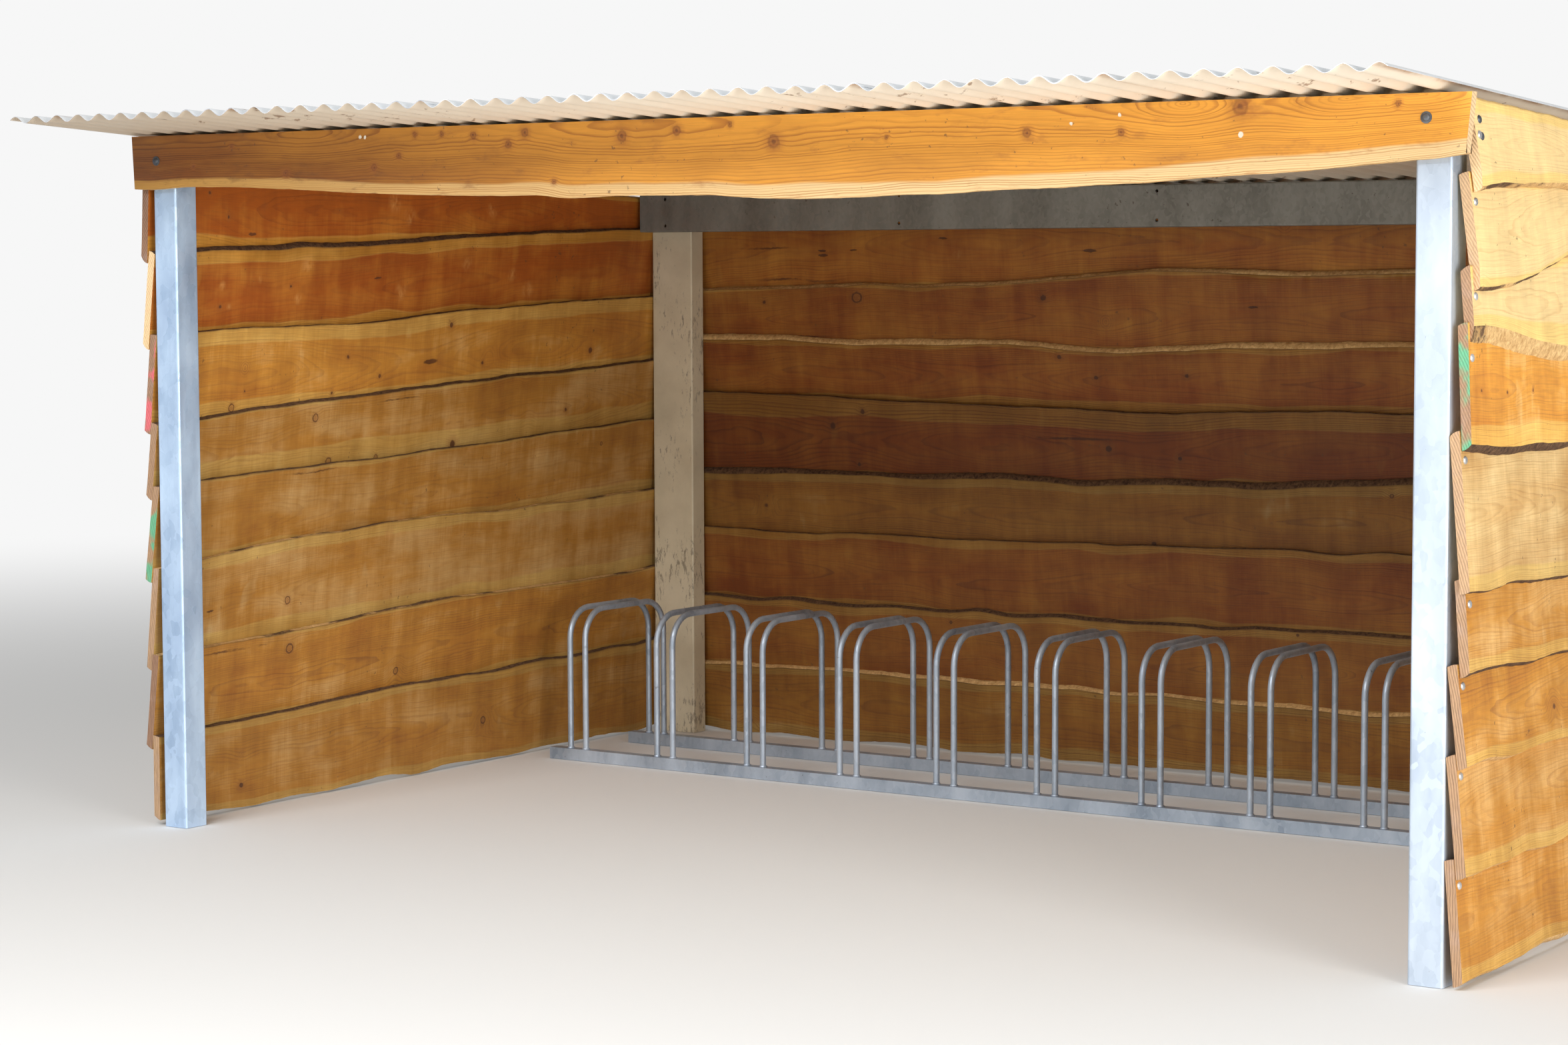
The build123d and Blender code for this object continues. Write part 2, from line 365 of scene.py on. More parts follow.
# knots as seen: wall, board, distance from its front or left end, height off its middle, radius
knots = {
    "soft": (("left", 5, 0.354, 0.026, 0.024), ("left", 7, 0.452, 0.008, 0.014),
             ("left", 4, 1.579, 0.077, 0.012), ("back", 6, 1.615, -0.018, 0.026),
             ("left", 1, 0.535, -0.006, 0.018), ("left", 0, 0.318, 0.033, 0.016)),
    "ringed": (("left", 5, 0.309, -0.078, 0.01), ("left", 4, 0.631, 0.063, 0.011),
               ("back", 6, 0.738, 0.07, 0.017), ("left", 2, 0.52, -0.02, 0.01),
               ("left", 1, 0.519, 0.086, 0.013), ("left", 4, 0.699, -0.063, 0.01),
               ("left", 4, 0.904, -0.068, 0.007)),
    "dark": (("left", 7, 0.235, 0.029, 0.004), ("left", 7, 0.31, -0.02, 0.004),
             ("left", 6, 0.266, -0.027, 0.005), ("left", 6, 0.545, 0.019, 0.004),
             ("left", 5, 0.779, 0.039, 0.005), ("left", 5, 0.922, -0.03, 0.006),
             ("left", 5, 0.719, -0.061, 0.005), ("left", 5, 0.357, -0.036, 0.003),
             ("left", 5, 1.232, 0.095, 0.008), ("left", 5, 1.39, -0.028, 0.005),
             ("left", 5, 1.924, -0.028, 0.01), ("left", 4, 1.789, -0.001, 0.005),
             ("left", 4, 1.249, -0.063, 0.012), ("back", 6, 1.406, 0.059, 0.01),
             ("back", 6, 0.386, 0.064, 0.006), ("back", 5, 1.462, 0.086, 0.008),
             ("back", 5, 1.583, 0.018, 0.008), ("back", 5, 1.886, 0.027, 0.007),
             ("back", 4, 0.761, 0.086, 0.008), ("back", 4, 0.647, 0.04, 0.01),
             ("back", 4, 1.627, 0.0, 0.011), ("left", 0, 0.317, -0.062, 0.008),
             ("back", 4, 1.863, -0.02, 0.007), ("back", 4, 0.737, -0.068, 0.006),
             ("back", 3, 1.777, -0.075, 0.009), ("right", 5, 0.065, -0.005, 0.004),
             ("right", 5, 0.204, -0.007, 0.004), ("right", 5, 0.347, -0.010, 0.004)),
    "scuff": (("left", 6, 0.27, 0.03, 0.016), ("left", 6, 0.578, -0.018, 0.018),
              ("left", 6, 1.017, -0.017, 0.03), ("left", 6, 0.422, 0.046, 0.014),
              ("left", 6, 1.312, 0.049, 0.028), ("left", 6, 1.531, 0.009, 0.024),
              ("left", 6, 1.611, -0.042, 0.03), ("left", 7, 1.0, 0.03, 0.035),
              ("left", 7, 1.45, 0.02, 0.03), ("left", 6, 0.3, -0.03, 0.012), ("back", 7, 1.1, -0.024, 0.02),
              ("left", 7, 1.07, -0.01, 0.03), ("left", 6, 0.612, 0.079, 0.035),
              ("left", 3, 0.938, 0.06, 0.03), ("left", 3, 1.298, 0.107, 0.03),
              ("left", 3, 0.425, 0.031, 0.03), ("left", 2, 0.94, 0.115, 0.03)),
    "crack": (("left", 7, 0.406, -0.052, 0.006), ("left", 6, 0.911, 0.028, 0.006),
              ("back", 7, 0.603, -0.006, 0.006), ("back", 7, 1.559, -0.022, 0.009),
              ("back", 7, 0.72, -0.01, 0.005), ("back", 6, 2.1, 0.02, 0.006),
              ("left", 2, 0.21, -0.005, 0.005), ("left", 5, 1.147, -0.004, 0.012),
              ("back", 7, 0.606, -0.019, 0.007), ("back", 7, 1.049, 0.024, 0.006)),
    "streak": (("back", 6, 0.54, -0.057, 0.004), ("back", 6, 1.1, -0.072, 0.01),
               ("back", 7, 0.405, -0.001, 0.005), ("back", 7, 0.501, -0.095, 0.007),
               ("left", 4, 0.996, 0.088, 0.004), ("left", 1, 0.3, 0.112, 0.006),
               ("left", 3, 0.6, 0.114, 0.005), ("back", 4, 1.5, 0.03, 0.008)),
}


def nearKnots(place, kind, pull=(1, 1)):  # distance to the nearest knot of a kind, counted in its radius
    nearest = 9.0
    if pull != (1, 1):
        place = put("VectorMath", {0: place, 1: (*pull, 1)}, operation="MULTIPLY").outputs[0]
    for wall, number, along, up, radius in knots[kind]:
        middle = (along * pull[0], up * pull[1], walls[wall]["seed"] + number)
        far = put("VectorMath", {0: place, 1: middle}, operation="DISTANCE").outputs["Value"]
        nearest = calc("MINIMUM", calc("DIVIDE", far, radius), nearest)
    return nearest


def banded(near, width, low, high, mask):  # rings round a knot
    return times(step(calc("PINGPONG", near, width), low, high), mask)


def makeLarchBoards():
    material, shader = startMaterial("larchBoards")
    length, height, seed = split(fact("boardSize", "Vector"))
    # the second value of boardWood is painted shade, multiplied into the colour below
    tone, paintedShade, drawn = split(fact("boardWood", "Vector"))
    sapWide = split(fact("boardSap", "Vector"))
    uv = uvPlace()
    fromEnd = times(uv[0], length)
    along = timesPlus(seed, 3.7, fromEnd)
    fromLow = times(uv[1], height)
    fromHigh = minus(height, fromLow)
    across = timesPlus(height, -0.5, fromLow)
    place = vector(along, across, seed)
    onBoard = vector(fromEnd, across, seed)
    ripple = put("TexNoise", {"Vector": place, "Scale": 90.0, "Detail": 2.0}).outputs["Color"]
    spot = put("VectorMath", {0: ripple, 1: (0.006, 0.006, 0), 2: onBoard},
               operation="MULTIPLY_ADD").outputs[0]
    ringed, dark, soft, scuff = [nearKnots(spot, kind) for kind in ("ringed", "dark", "soft", "scuff")]
    crack = nearKnots(spot, "crack", (0.35, 1.6))
    streak = nearKnots(spot, "streak", (0.04, 1.6))
    bulge = step(calc("MINIMUM", calc("MINIMUM", ringed, dark), soft), 0.0, 4.0, 0.009, 0.0)
    luck = split(put("TexWhiteNoise", {"W": seed}, noise_dimensions="1D").outputs["Color"], "Color")
    figure = useGroup(woodFigure, {
        "Place": vector(along, plus(across, bulge), seed), "Knots": 0.42,
        "Depth": span(luck[0], 0.0, 1.0, 0.025, 0.1), "Ring": span(luck[1], 0.0, 1.0, 0.0036, 0.006)})
    marks = useGroup(sawMarks, {"Place": place})

    drift = minus(cloud(vector(times(along, 2.4), seed), 1.0, 2.0), 0.5)
    lowSap = timesPlus(drift, 0.05, minus(fromLow, sapWide[0]))
    highSap = timesPlus(drift, -0.05, minus(fromHigh, sapWide[1]))
    sapEdge = calc("MINIMUM", lowSap, highSap)
    patches = cloud(stretch(place, (3.5, 7, 1), (4, 2, 0)), 1.0, 4.0, 0.6)
    scuffs = cloud(stretch(place, (15, 6, 1), (0, 0, 0), (0, 0, 0.35)), 1.0, 2.0, 0.5)
    fewer = cloud(stretch(place, (2.7, 5, 1), (1, 6, 0)), 1.0, 1.0)
    chatter = cloud(stretch(place, (13, 3.5, 1), (2, 5, 0), (0, 0, 0.25)), 1.0, 3.0, 0.6)
    index = timesPlus(swing(patches), 0.24, tone)
    index = timesPlus(swing(figure["Mottle"]), 0.22, index)
    index = timesPlus(swing(marks["Ripple"], 0.35, 0.65), 0.07, index)
    index = timesPlus(times(step(scuffs, 0.6, 0.7), step(fewer, 0.5, 0.62)), 0.12, index)
    index = timesPlus(swing(chatter, 0.35, 0.65), 0.12, index)

    heart = tint(span(index, 0.0, 0.5), larch["deep"], larch["middle"])
    sapShare = timesPlus(figure["Mottle"], 0.3, minus(index, 0.15))
    uneven = span(cloud(stretch(place, (0.9, 5, 1)), 1.0, 2.0), 0.3, 0.7, 0.5, 1.0)
    torn = step(cloud(stretch(place, (34, 20, 1), (0, 0, 0), (0, 0, 0.9)), 1.0, 3.0, 0.65), 0.38, 0.66)
    frayed = cloud(stretch(place, (11, 60, 1)), 1.0, 4.0, 0.7)
    specksAndFilm = useGroup(grimeAndShade, {"Place": here(), "Specks": 0.35})
    colour = layer(
        heart, (span(index, 0.5, 1.0), larch["pale"]),
        (times(step(sapEdge, -0.003, 0.004, 1.0, 0.0), 0.72),
         tint(sapShare, larch["sapDeep"], larch["sapPale"])),
        (step(calc("ABSOLUTE", sapEdge), 0.0, 0.004, 0.14, 0.0), larch["sapPale"]),
        (times(times(figure["Late"], drawn), uneven), tint(span(index, 0.0, 1.0), larch["lateDeep"],
                                                           larch["latePale"])),
        (times(figure["Knot"], 0.5), (0.36, 0.15, 0.045)),
        (times(figure["Rim"], 0.8), larch["knot"]),
        (step(dark, 0.8, 3.4, 0.4, 0.0), (0.33, 0.11, 0.025)),
        (step(dark, 0.7, 1.15, 0.9, 0.0), larch["knot"]),
        (step(ringed, 0.2, 1.9, 0.4, 0.0), (0.5, 0.2, 0.05)),
        (banded(ringed, 0.17, 0.04, 0.15, step(ringed, 0.9, 2.2, 0.6, 0.0)), larch["whorl"]),
        (banded(soft, 0.14, 0.03, 0.13, step(soft, 0.4, 1.3, 0.45, 0.0)), larch["whorl"]),
        (times(step(ringed, 0.7, 0.95), step(ringed, 0.98, 1.25, 0.85, 0.0)), larch["knot"]),
        (times(torn, step(scuff, 0.1, 1.2, 0.5, 0.0)), (0.84, 0.42, 0.12)),
        (step(crack, 0.7, 1.1, 0.85, 0.0), (0.1, 0.03, 0.01)),
        (times(times(step(streak, 0.3, 1.3, 1.0, 0.0), step(frayed, 0.36, 0.56)), 0.85),
         (0.12, 0.035, 0.008)),
        # painted seam shadow with bark residue: a dark line along the board's top edge, where the board above
        # laps over it
        (step(timesPlus(frayed, 0.006, fromHigh), 0.003, 0.008, 0.6, 0.0), (0.16, 0.07, 0.02)))
    shade = times(span(figure["Fibre"], 0.25, 0.75, 0.86, 1.1), span(patches, 0.3, 0.7, 0.88, 1.08))
    # painted shade: the board is darkened by the shade its wall stands in
    shade = times(shade, times(span(marks["Ripple"], 0.35, 0.65, 0.97, 1.03), paintedShade))
    shade = times(shade, span(chatter, 0.35, 0.65, 0.9, 1.07))
    colour = layer(darken(colour, shade), (times(specksAndFilm["Specks"], 0.6), (0.1, 0.05, 0.02)))
    link(colour, shader.inputs["Base Color"])
    link(span(figure["Fibre"], 0.0, 1.0, larch["rough"] - 0.1, larch["rough"] + 0.14),
         shader.inputs["Roughness"])
    depth = timesPlus(figure["Late"], 0.35, times(marks["Ripple"], 0.9))
    depth = timesPlus(figure["Fibre"], 0.5, depth)
    depth = minus(depth, step(crack, 0.6, 1.1, 0.8, 0.0))
    relief(shader, depth, 0.0012, 0.8)
    return material


def makeLarchEdge():  # bark and bare wane on the live edges
    material, shader = startMaterial("larchEdge")
    place = here()
    share = fact("boardBark")
    patches = cloud(place, 4.6, 4.0, 0.6)
    flakes = cloud(place, 85.0, 4.0, 0.7, 0.4)
    level = timesPlus(flakes, 0.3, timesPlus(share, 0.75, patches))
    bark = step(level, 1.0, 1.08)
    bare = tint(span(flakes, 0.3, 0.7), larch["wane"], larch["waneSap"])
    dark = tint(span(flakes, 0.35, 0.8), larch["bark"], larch["barkFlake"])
    link(tint(bark, bare, dark), shader.inputs["Base Color"])
    shader.inputs["Roughness"].default_value = 0.85
    relief(shader, times(flakes, span(bark, 0.0, 1.0, 0.3, 1.0)), 0.006, 0.9)
    return material


def makeLarchEnd():  # rough sawn end grain, some with a forester's mark
    material, shader = startMaterial("larchEnd")
    place = here()
    paint = fact("boardPaint")
    fresh = fact("boardEnd")
    turned = stretch(place, (1, 1, 1), (0, 0, 0.4), (0.5, 0.4, 0))
    wave = {"Vector": turned, "Scale": 55.0, "Distortion": 2.5, "Detail": 2.0, "Detail Scale": 0.6}
    rings = put("TexWave", wave, wave_type="RINGS", rings_direction="Y").outputs["Fac"]
    saw = cloud(stretch(place, (520, 60, 45), (0, 0, 0), (0, 0.12, 0)), 1.0, 3.0)
    film = cloud(place, 13.0, 5.0, 0.65)
    worn = span(fresh, 0.0, 1.0, 0.8, 0.12)
    dab = step(cloud(stretch(place, (14, 14, 9)), 1.0, 3.0), 0.46, 0.54)
    green, pink = [times(times(calc("COMPARE", paint, mark, 0.4), dab), 0.8) for mark in (1.0, 2.0)]
    colour = layer(
        tint(fresh, larch["endDark"], larch["endPale"]),
        (times(step(rings, 0.5, 0.95, 0.0, 0.3), worn), (0.2, 0.09, 0.05)),
        (times(step(film, 0.5, 0.72, 0.0, 0.6), worn), (0.46, 0.34, 0.3)),
        (times(span(saw, 0.35, 0.7, 0.0, 0.55), worn), (0.13, 0.065, 0.045)),
        (green, (0.08, 0.46, 0.26)), (pink, (0.78, 0.14, 0.18)))
    link(colour, shader.inputs["Base Color"])
    shader.inputs["Roughness"].default_value = 0.88
    relief(shader, plus(saw, rings), 0.0018, 0.9)
    return material


larchBoards = makeLarchBoards()
larchEdge = makeLarchEdge()
larchEnd = makeLarchEnd()


# Steel and sheet

roof = {
    "count": 6, "pitch": 0.076, "rise": 0.0085, "thick": 0.001, "waves": 10.5, "steps": 24, "stepWaves": 8,
    "firstLap": 2.25,
    "deep": 0.018, "rows": 18, "short": 0.0016, "inLeft": 0.0003, "inFront": 0.0006, "down": 0.009,
}


def makeZinc(name, values):  # hot-dip zinc with soft spangles, streaks and smudges
    material, shader = startMaterial(name)
    place = here()
    ripple = put("TexNoise", {"Vector": place, "Scale": 26.0}).outputs["Color"]
    bent = put("Mix", {0: 0.035, 4: place, 5: ripple}, data_type="VECTOR").outputs[1]
    spangle = put("TexVoronoi", {"Vector": stretch(bent, (1, 1, 0.7)), "Scale": values["spangle"]}).outputs
    cells = split(spangle["Color"], "Color")[0]
    bloom = cloud(stretch(place, (1, 1, 0.35)), 7.0, 5.0, 0.62)
    streak = cloud(stretch(place, (34, 34, 1.2)), 1.0, 3.0, 0.6)
    specksAndFilm = useGroup(grimeAndShade, {"Place": place, "Specks": values["specks"]})
    colour = layer(
        tint(cells, values["pale"], values["dark"]),
        (span(bloom, 0.35, 0.68, 0.0, 0.75), values["white"]),
        (span(streak, 0.55, 0.85, 0.0, 0.5), values["dark"]),
        (times(specksAndFilm["Specks"], 0.7), (0.07, 0.05, 0.035)))
    link(colour, shader.inputs["Base Color"])
    link(span(bloom, 0.3, 0.7, values["metal"], values["metal"] - 0.35), shader.inputs["Metallic"])
    rough = values["rough"]
    link(span(plus(cells, bloom), 0.2, 1.6, rough - 0.1, rough + 0.16), shader.inputs["Roughness"])
    relief(shader, timesPlus(cells, 0.25, bloom), 0.0006, 0.6)
    return material


def makeOldPaint():  # dull off-white coat with dark scuffs where it is worn
    material, shader = startMaterial("oldPaint")
    place = here()
    film = cloud(place, 5.0, 5.0, 0.6)
    scuff = cloud(stretch(place, (90, 90, 28)), 1.0, 5.0, 0.75)
    where = cloud(place, 5.3, 3.0)
    worn = step(timesPlus(where, 0.5, scuff), 0.83, 0.93)
    colour = tint(span(film, 0.3, 0.7), (0.57, 0.5, 0.36), (0.74, 0.66, 0.49))
    colour = tint(times(worn, 0.65), colour, (0.14, 0.11, 0.08))
    link(colour, shader.inputs["Base Color"])
    link(span(film, 0.3, 0.7, 0.42, 0.62), shader.inputs["Roughness"])
    relief(shader, minus(film, times(worn, 0.4)), 0.0008, 0.5)
    return material


def makeSheetCoat(name, values):  # coated corrugated sheet with leaf bits and brown drip marks
    material, shader = startMaterial(name)
    place = here()
    film = cloud(stretch(place, (2, 1, 1)), 2.6, 5.0, 0.62)
    bits = cloud(stretch(place, (34, 15, 20)), 1.0, 4.0, 0.68)
    where = cloud(place, 1.5, 3.0, 0.6)
    bits = step(timesPlus(where, 0.55, bits), values["bitsFrom"], values["bitsFrom"] + 0.07)
    fromLap = minus(split(place)[0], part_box("roof_sheet_1")[0].x + roof["firstLap"] * roof["pitch"])
    laps = calc("DIVIDE", fromLap, roof["stepWaves"] * roof["pitch"])
    lap = calc("ABSOLUTE", minus(calc("FRACT", plus(laps, 0.5)), 0.5))
    drips = step(cloud(stretch(place, (9, 5, 1)), 1.0, 4.0, 0.65), 0.36, 0.62)
    stain = times(step(lap, 0.012, 0.03, 0.75, 0.0), drips)
    colour = layer(
        tint(span(film, 0.3, 0.72), values["pale"], values["dull"]),
        # painted shade: darker towards the left end, fading out about halfway across the roof; strong on the
        # underside, where the left sheets stand in shade, faint on the top
        (step(laps, -0.3, 3.2, values["leftShade"], 0.0), (0.52, 0.42, 0.31)),
        (times(stain, values["stain"]), (0.4, 0.2, 0.08)),
        (times(bits, 0.75), values["bits"]))
    link(colour, shader.inputs["Base Color"])
    link(span(film, 0.3, 0.7, values["rough"], values["rough"] + 0.15), shader.inputs["Roughness"])
    relief(shader, timesPlus(bits, 0.6, film), 0.0006, 0.5)
    return material


postZinc = makeZinc("postZinc", {"pale": (0.47, 0.55, 0.66), "dark": (0.36, 0.43, 0.53),
                                 "white": (0.58, 0.66, 0.76), "spangle": 46.0, "specks": 0.05,
                                 "metal": 0.65, "rough": 0.45})
# painted light: a bluer copy of postZinc for the left post, painting in the blue sky light it reflects where
# it stands in shade
shadeZinc = makeZinc("shadeZinc", {"pale": (0.5, 0.66, 0.9), "dark": (0.35, 0.48, 0.67),
                                   "white": (0.64, 0.8, 0.98), "spangle": 46.0, "specks": 0.05,
                                   "metal": 0.65, "rough": 0.45})
beamZinc = makeZinc("beamZinc", {"pale": (0.23, 0.228, 0.205), "dark": (0.185, 0.184, 0.165),
                                 "white": (0.3, 0.3, 0.275), "spangle": 110.0, "specks": 0.45,
                                 "metal": 0.65, "rough": 0.52})
rackZinc = makeZinc("rackZinc", {"pale": (0.4, 0.47, 0.56), "dark": (0.28, 0.34, 0.42),
                                 "white": (0.5, 0.56, 0.64), "spangle": 60.0, "specks": 0.25, "metal": 0.75,
                                 "rough": 0.44})
oldPaint = makeOldPaint()
sheetUnder = makeSheetCoat("sheetUnder", {"pale": (0.9, 0.83, 0.7), "dull": (0.78, 0.68, 0.55),
                                          "bits": (0.2, 0.1, 0.045), "bitsFrom": 0.9, "rough": 0.45,
                                          "stain": 1.0, "leftShade": 0.75})
sheetTop = makeSheetCoat("sheetTop", {"pale": (0.8, 0.84, 0.88), "dull": (0.66, 0.69, 0.7),
                                      "bits": (0.16, 0.1, 0.05), "bitsFrom": 0.93, "rough": 0.36,
                                      "stain": 0.25, "leftShade": 0.1})
sheetCut = makeZinc("sheetCut", {"pale": (0.74, 0.76, 0.8), "dark": (0.5, 0.54, 0.62),
                                 "white": (0.8, 0.82, 0.86), "spangle": 90.0, "specks": 0.2, "metal": 0.6,
                                 "rough": 0.4})
screwSteel = makeZinc("screwSteel", {"pale": (0.72, 0.72, 0.72), "dark": (0.5, 0.5, 0.5),
                                     "white": (0.8, 0.8, 0.8), "spangle": 150.0, "specks": 0.1,
                                     "metal": 1.0, "rough": 0.3})
boltSteel = makeZinc("boltSteel", {"pale": (0.12, 0.13, 0.15), "dark": (0.05, 0.055, 0.065),
                                   "white": (0.2, 0.22, 0.24), "spangle": 150.0, "specks": 0.2,
                                   "metal": 0.85, "rough": 0.45})
print("materials ready")


# Roof sheets

def sheetFall(name):  # run and fall of a sheet's middle plane
    low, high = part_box(name)
    return high.y - low.y, high.z - low.z - roof["deep"]


def makeSheet():  # one sheet, flat, its left front corner at the origin
    length = math.hypot(*sheetFall("roof_sheet_1")) - roof["short"]
    bpy.ops.mesh.primitive_grid_add(x_subdivisions=roof["steps"], y_subdivisions=roof["rows"], size=1,
                                    location=(0.5, 0.5, 0))
    sheet = bpy.context.object
    applyPlace(sheet)
    startEdit(sheet, "SELECT")
    bpy.ops.transform.resize(value=(roof["pitch"], length, 1), center_override=(0, 0, 0))
    for i in range(1, roof["steps"]):
        x = roof["pitch"] * i / roof["steps"]
        pick(sheet, lambda co: abs(co.x - x) < 1e-4)
        bpy.ops.transform.translate(value=(0, 0, roof["rise"] * math.sin(2 * math.pi * i / roof["steps"])))
    stopEdit()
    applyModifier(sheet, "ARRAY", "waves", count=math.ceil(roof["waves"]), use_merge_vertices=True,
                  merge_threshold=1e-4)
    startEdit(sheet, "SELECT")
    bpy.ops.mesh.bisect(plane_co=(roof["waves"] * roof["pitch"], 0, 0), plane_no=(1, 0, 0), clear_outer=True)
    stopEdit()
    dress(sheet, sheetTop, sheetUnder, sheetCut)
    applyModifier(sheet, "SOLIDIFY", "gauge", thickness=roof["thick"], offset=0, material_offset=1,
                  material_offset_rim=2)
    return sheet


def makeRoof():
    pattern = makeSheet()
    for number in range(roof["count"]):
        name = f"roof_sheet_{number + 1}"
        low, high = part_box(name)
        run, fall = sheetFall(name)
        sheet = copyPiece(pattern, f"sheet_{number + 1}")
        sheet.rotation_euler = (-math.atan2(fall, run), 0, 0)
        sheet.location = (low.x + roof["inLeft"], low.y + roof["inFront"], high.z - roof["down"])
        applyPlace(sheet)
        smooth(sheet)
        fit(sheet, "roof_sheet", name)
    bpy.data.objects.remove(pattern)


makeRoof()
print("roof sheets laid")


# Wall boards

boardLook = {"thick": 0.022, "column": 0.0118, "rows": 6, "station": 0.119, "swing": 6, "sway": 0.007,
             "lumps": 0.0035}
# hue from red heartwood (0) to pale (1), brightness, how strongly the grain is drawn; from the ground up
# the brightness is painted shade: lowest on the back wall, which stands in deep shade, and on the lower left
# boards; it sits over each board's own tone
woods = {
    "left": ((0.5, 0.57, 0.7), (0.46, 0.66, 0.95), (0.6, 0.64, 0.55), (0.53, 0.59, 0.5), (0.56, 0.64, 0.65),
             (0.45, 0.84, 0.65), (0.08, 0.89, 0.5), (0.01, 1.0, 0.5)),
    "right": ((0.5, 0.9, 0.7), (0.6, 0.9, 0.7), (0.5, 0.9, 0.7), (0.55, 0.9, 0.7), (0.82, 0.84, 0.6),
              (0.46, 1.16, 0.6), (1.15, 1.03, 0.45), (1.1, 1.04, 0.45), (1.05, 1.06, 0.4)),
    "back": ((0.4, 0.46, 0.95), (0.26, 0.46, 0.95), (0.16, 0.46, 0.95), (0.42, 0.4, 1.0), (0.04, 0.38, 1.0),
             (0.15, 0.54, 1.0), (0.2, 0.56, 0.95), (0.24, 0.68, 0.95)),
}
# sapwood along the low and high edge
saps = {
    ("left", 7): (0.05, 0.02), ("left", 6): (0.05, 0.034), ("left", 5): (0.066, 0.04),
    ("left", 4): (0.085, 0.004),
    ("left", 3): (0.06, 0.006), ("left", 2): (0.075, 0.03), ("left", 1): (0.04, 0.006),
    ("left", 0): (0.02, 0.022),
    ("back", 6): (0.02, 0.007), ("back", 5): (0.045, 0.012), ("back", 4): (0.02, 0.055),
    ("back", 3): (0.02, 0.03),
    ("right", 5): (0.045, 0.03), ("right", 6): (0.04, 0.02), ("right", 7): (0.012, 0.02),
    ("right", 8): (0.02, 0.02),
}
# end grain of the front ends from weathered (0) to freshly sawn (1)
ends = {
    ("left", 7): 0.12, ("left", 6): 1.0, ("left", 5): 0.2, ("left", 4): 0.3, ("left", 3): 0.35,
    ("left", 2): 0.4, ("left", 1): 0.15,
    ("left", 0): 0.45, ("right", 8): 1.0, ("right", 7): 0.62, ("right", 6): 0.3, ("right", 5): 0.25,
    ("right", 4): 0.5,
}
# pulls off the straight edge in millimetres, by wall, board from the ground and low (0) or high (1) edge
liveEdges = {
    ("left", 0, 1): ((119, 4), (474, 3), (593, 6), (830, 11), (949, 12), (1067, 9)),
    ("left", 1, 1): ((119, 5), (474, 4), (712, 9), (949, 16), (1186, 20)),
    ("left", 2, 1): ((0, 0), (119, 6), (237, 12), (356, 20), (593, 27), (712, 24), (949, 28), (1186, 24),
                     (1300, 18)),
    ("left", 3, 1): ((119, 3), (356, 5), (593, 2), (712, 4), (949, 0), (1186, 5), (1423, 3), (1660, 8),
                     (2016, 10), (2135, 13)),
    ("left", 4, 1): ((119, 2), (237, 4), (356, 11), (593, 16), (830, 14), (1186, 18), (1423, 16),
                     (1542, 19), (1779, 14), (2135, 14), (2254, 17)),
    ("left", 5, 1): ((119, 3), (356, 4), (593, -2), (830, -7), (949, -4), (1067, 1), (1305, 10), (1423, 8),
                     (1779, 12), (2016, 12), (2254, 10)),
    ("left", 6, 1): ((119, 2), (237, 6), (474, 2), (593, 8), (712, 2), (949, 4), (1186, 9), (1305, 11),
                     (1660, 12), (2016, 11), (2135, 8)),
    ("back", 6, 1): ((60, -6), (182, -4), (510, 0), (757, 6), (949, -3), (1168, 1), (1332, 6), (1552, 20),
                     (1812, 34), (2017, 26), (2237, 16), (2586, 15)),
    ("back", 5, 1): ((200, 12), (469, 10), (606, 0), (689, -4), (867, 2), (1278, 2), (1401, -7),
                     (1552, -17), (1675, -20), (1853, -11), (2017, -1), (2565, 8)),
    ("back", 4, 1): ((222, 12), (565, 9), (867, -2), (1332, -11), (1538, -13), (1744, -22), (1963, -16)),
    ("back", 3, 1): ((449, 9), (620, 2), (976, -7), (1196, 1), (1387, -8), (1552, -20), (1744, -10),
                     (2127, -18)),
    ("right", 8, 0): ((0, -6), (120, 2), (300, 8), (510, 14), (800, 2)),
    ("right", 7, 0): ((0, -14), (150, -12), (260, 2), (340, 16), (430, 34), (520, 54), (640, 58), (800, 30),
                      (1000, 6)),
    ("right", 7, 1): ((0, 0), (2371, 0)),
    ("right", 6, 1): ((0, 0), (260, 8), (400, 26), (520, 44), (640, 46), (800, 26), (1000, 4)),
    ("right", 6, 0): ((0, -22), (120, -30), (240, -42), (330, -52), (520, -66), (700, -54), (900, -28),
                      (1200, -8)),
    ("right", 5, 0): ((0, -10), (120, -20), (240, -26), (400, -24), (520, -28), (760, -14)),
    ("right", 8, 1): ((0, 0), (2371, 0)), ("left", 7, 1): ((0, 0), (2371, 0)),
    ("back", 7, 1): ((0, 0), (3682, 0)),
}
# width of the sloped edge (negative where it slopes outwards) and share of bark left on it, low then high
wanes = {
    ("right", 8): (0.008, 0.5, 0.004, 0), ("right", 7): (0.01, 0.55, 0.006, 0.5),
    ("right", 6): (0.034, 0.42, 0.01, 0.6),
    ("right", 5): (0.012, 0.85, 0.006, 0.4), ("right", 4): (0.009, 1.0, 0.01, 0.4),
    ("right", 3): (0.01, 0.9, 0.004, 0.3),
    ("left", 6): (0.012, 0.7, 0.0085, 1.0), ("left", 5): (0.01, 0.5, -0.001, 0.9),
    ("left", 4): (0.014, 0.3, 0.0035, 1.0),
    ("left", 3): (0.008, 0.5, -0.002, 0.8), ("left", 2): (0.012, 0.9, -0.003, 0.45),
    ("left", 1): (0.01, 0.3, -0.001, 0.5),
    ("left", 0): (0.012, 0.5, 0.0015, 0.95), ("back", 6): (0.01, 0.5, 0.008, 0.12),
    ("back", 5): (0.014, 0.4, 0.013, 0),
    ("back", 4): (0.01, 0.8, -0.001, 0.9), ("back", 3): (0.012, 0.5, 0.018, 1.0),
    ("back", 2): (0.012, 0.5, -0.002, 0.9),
}
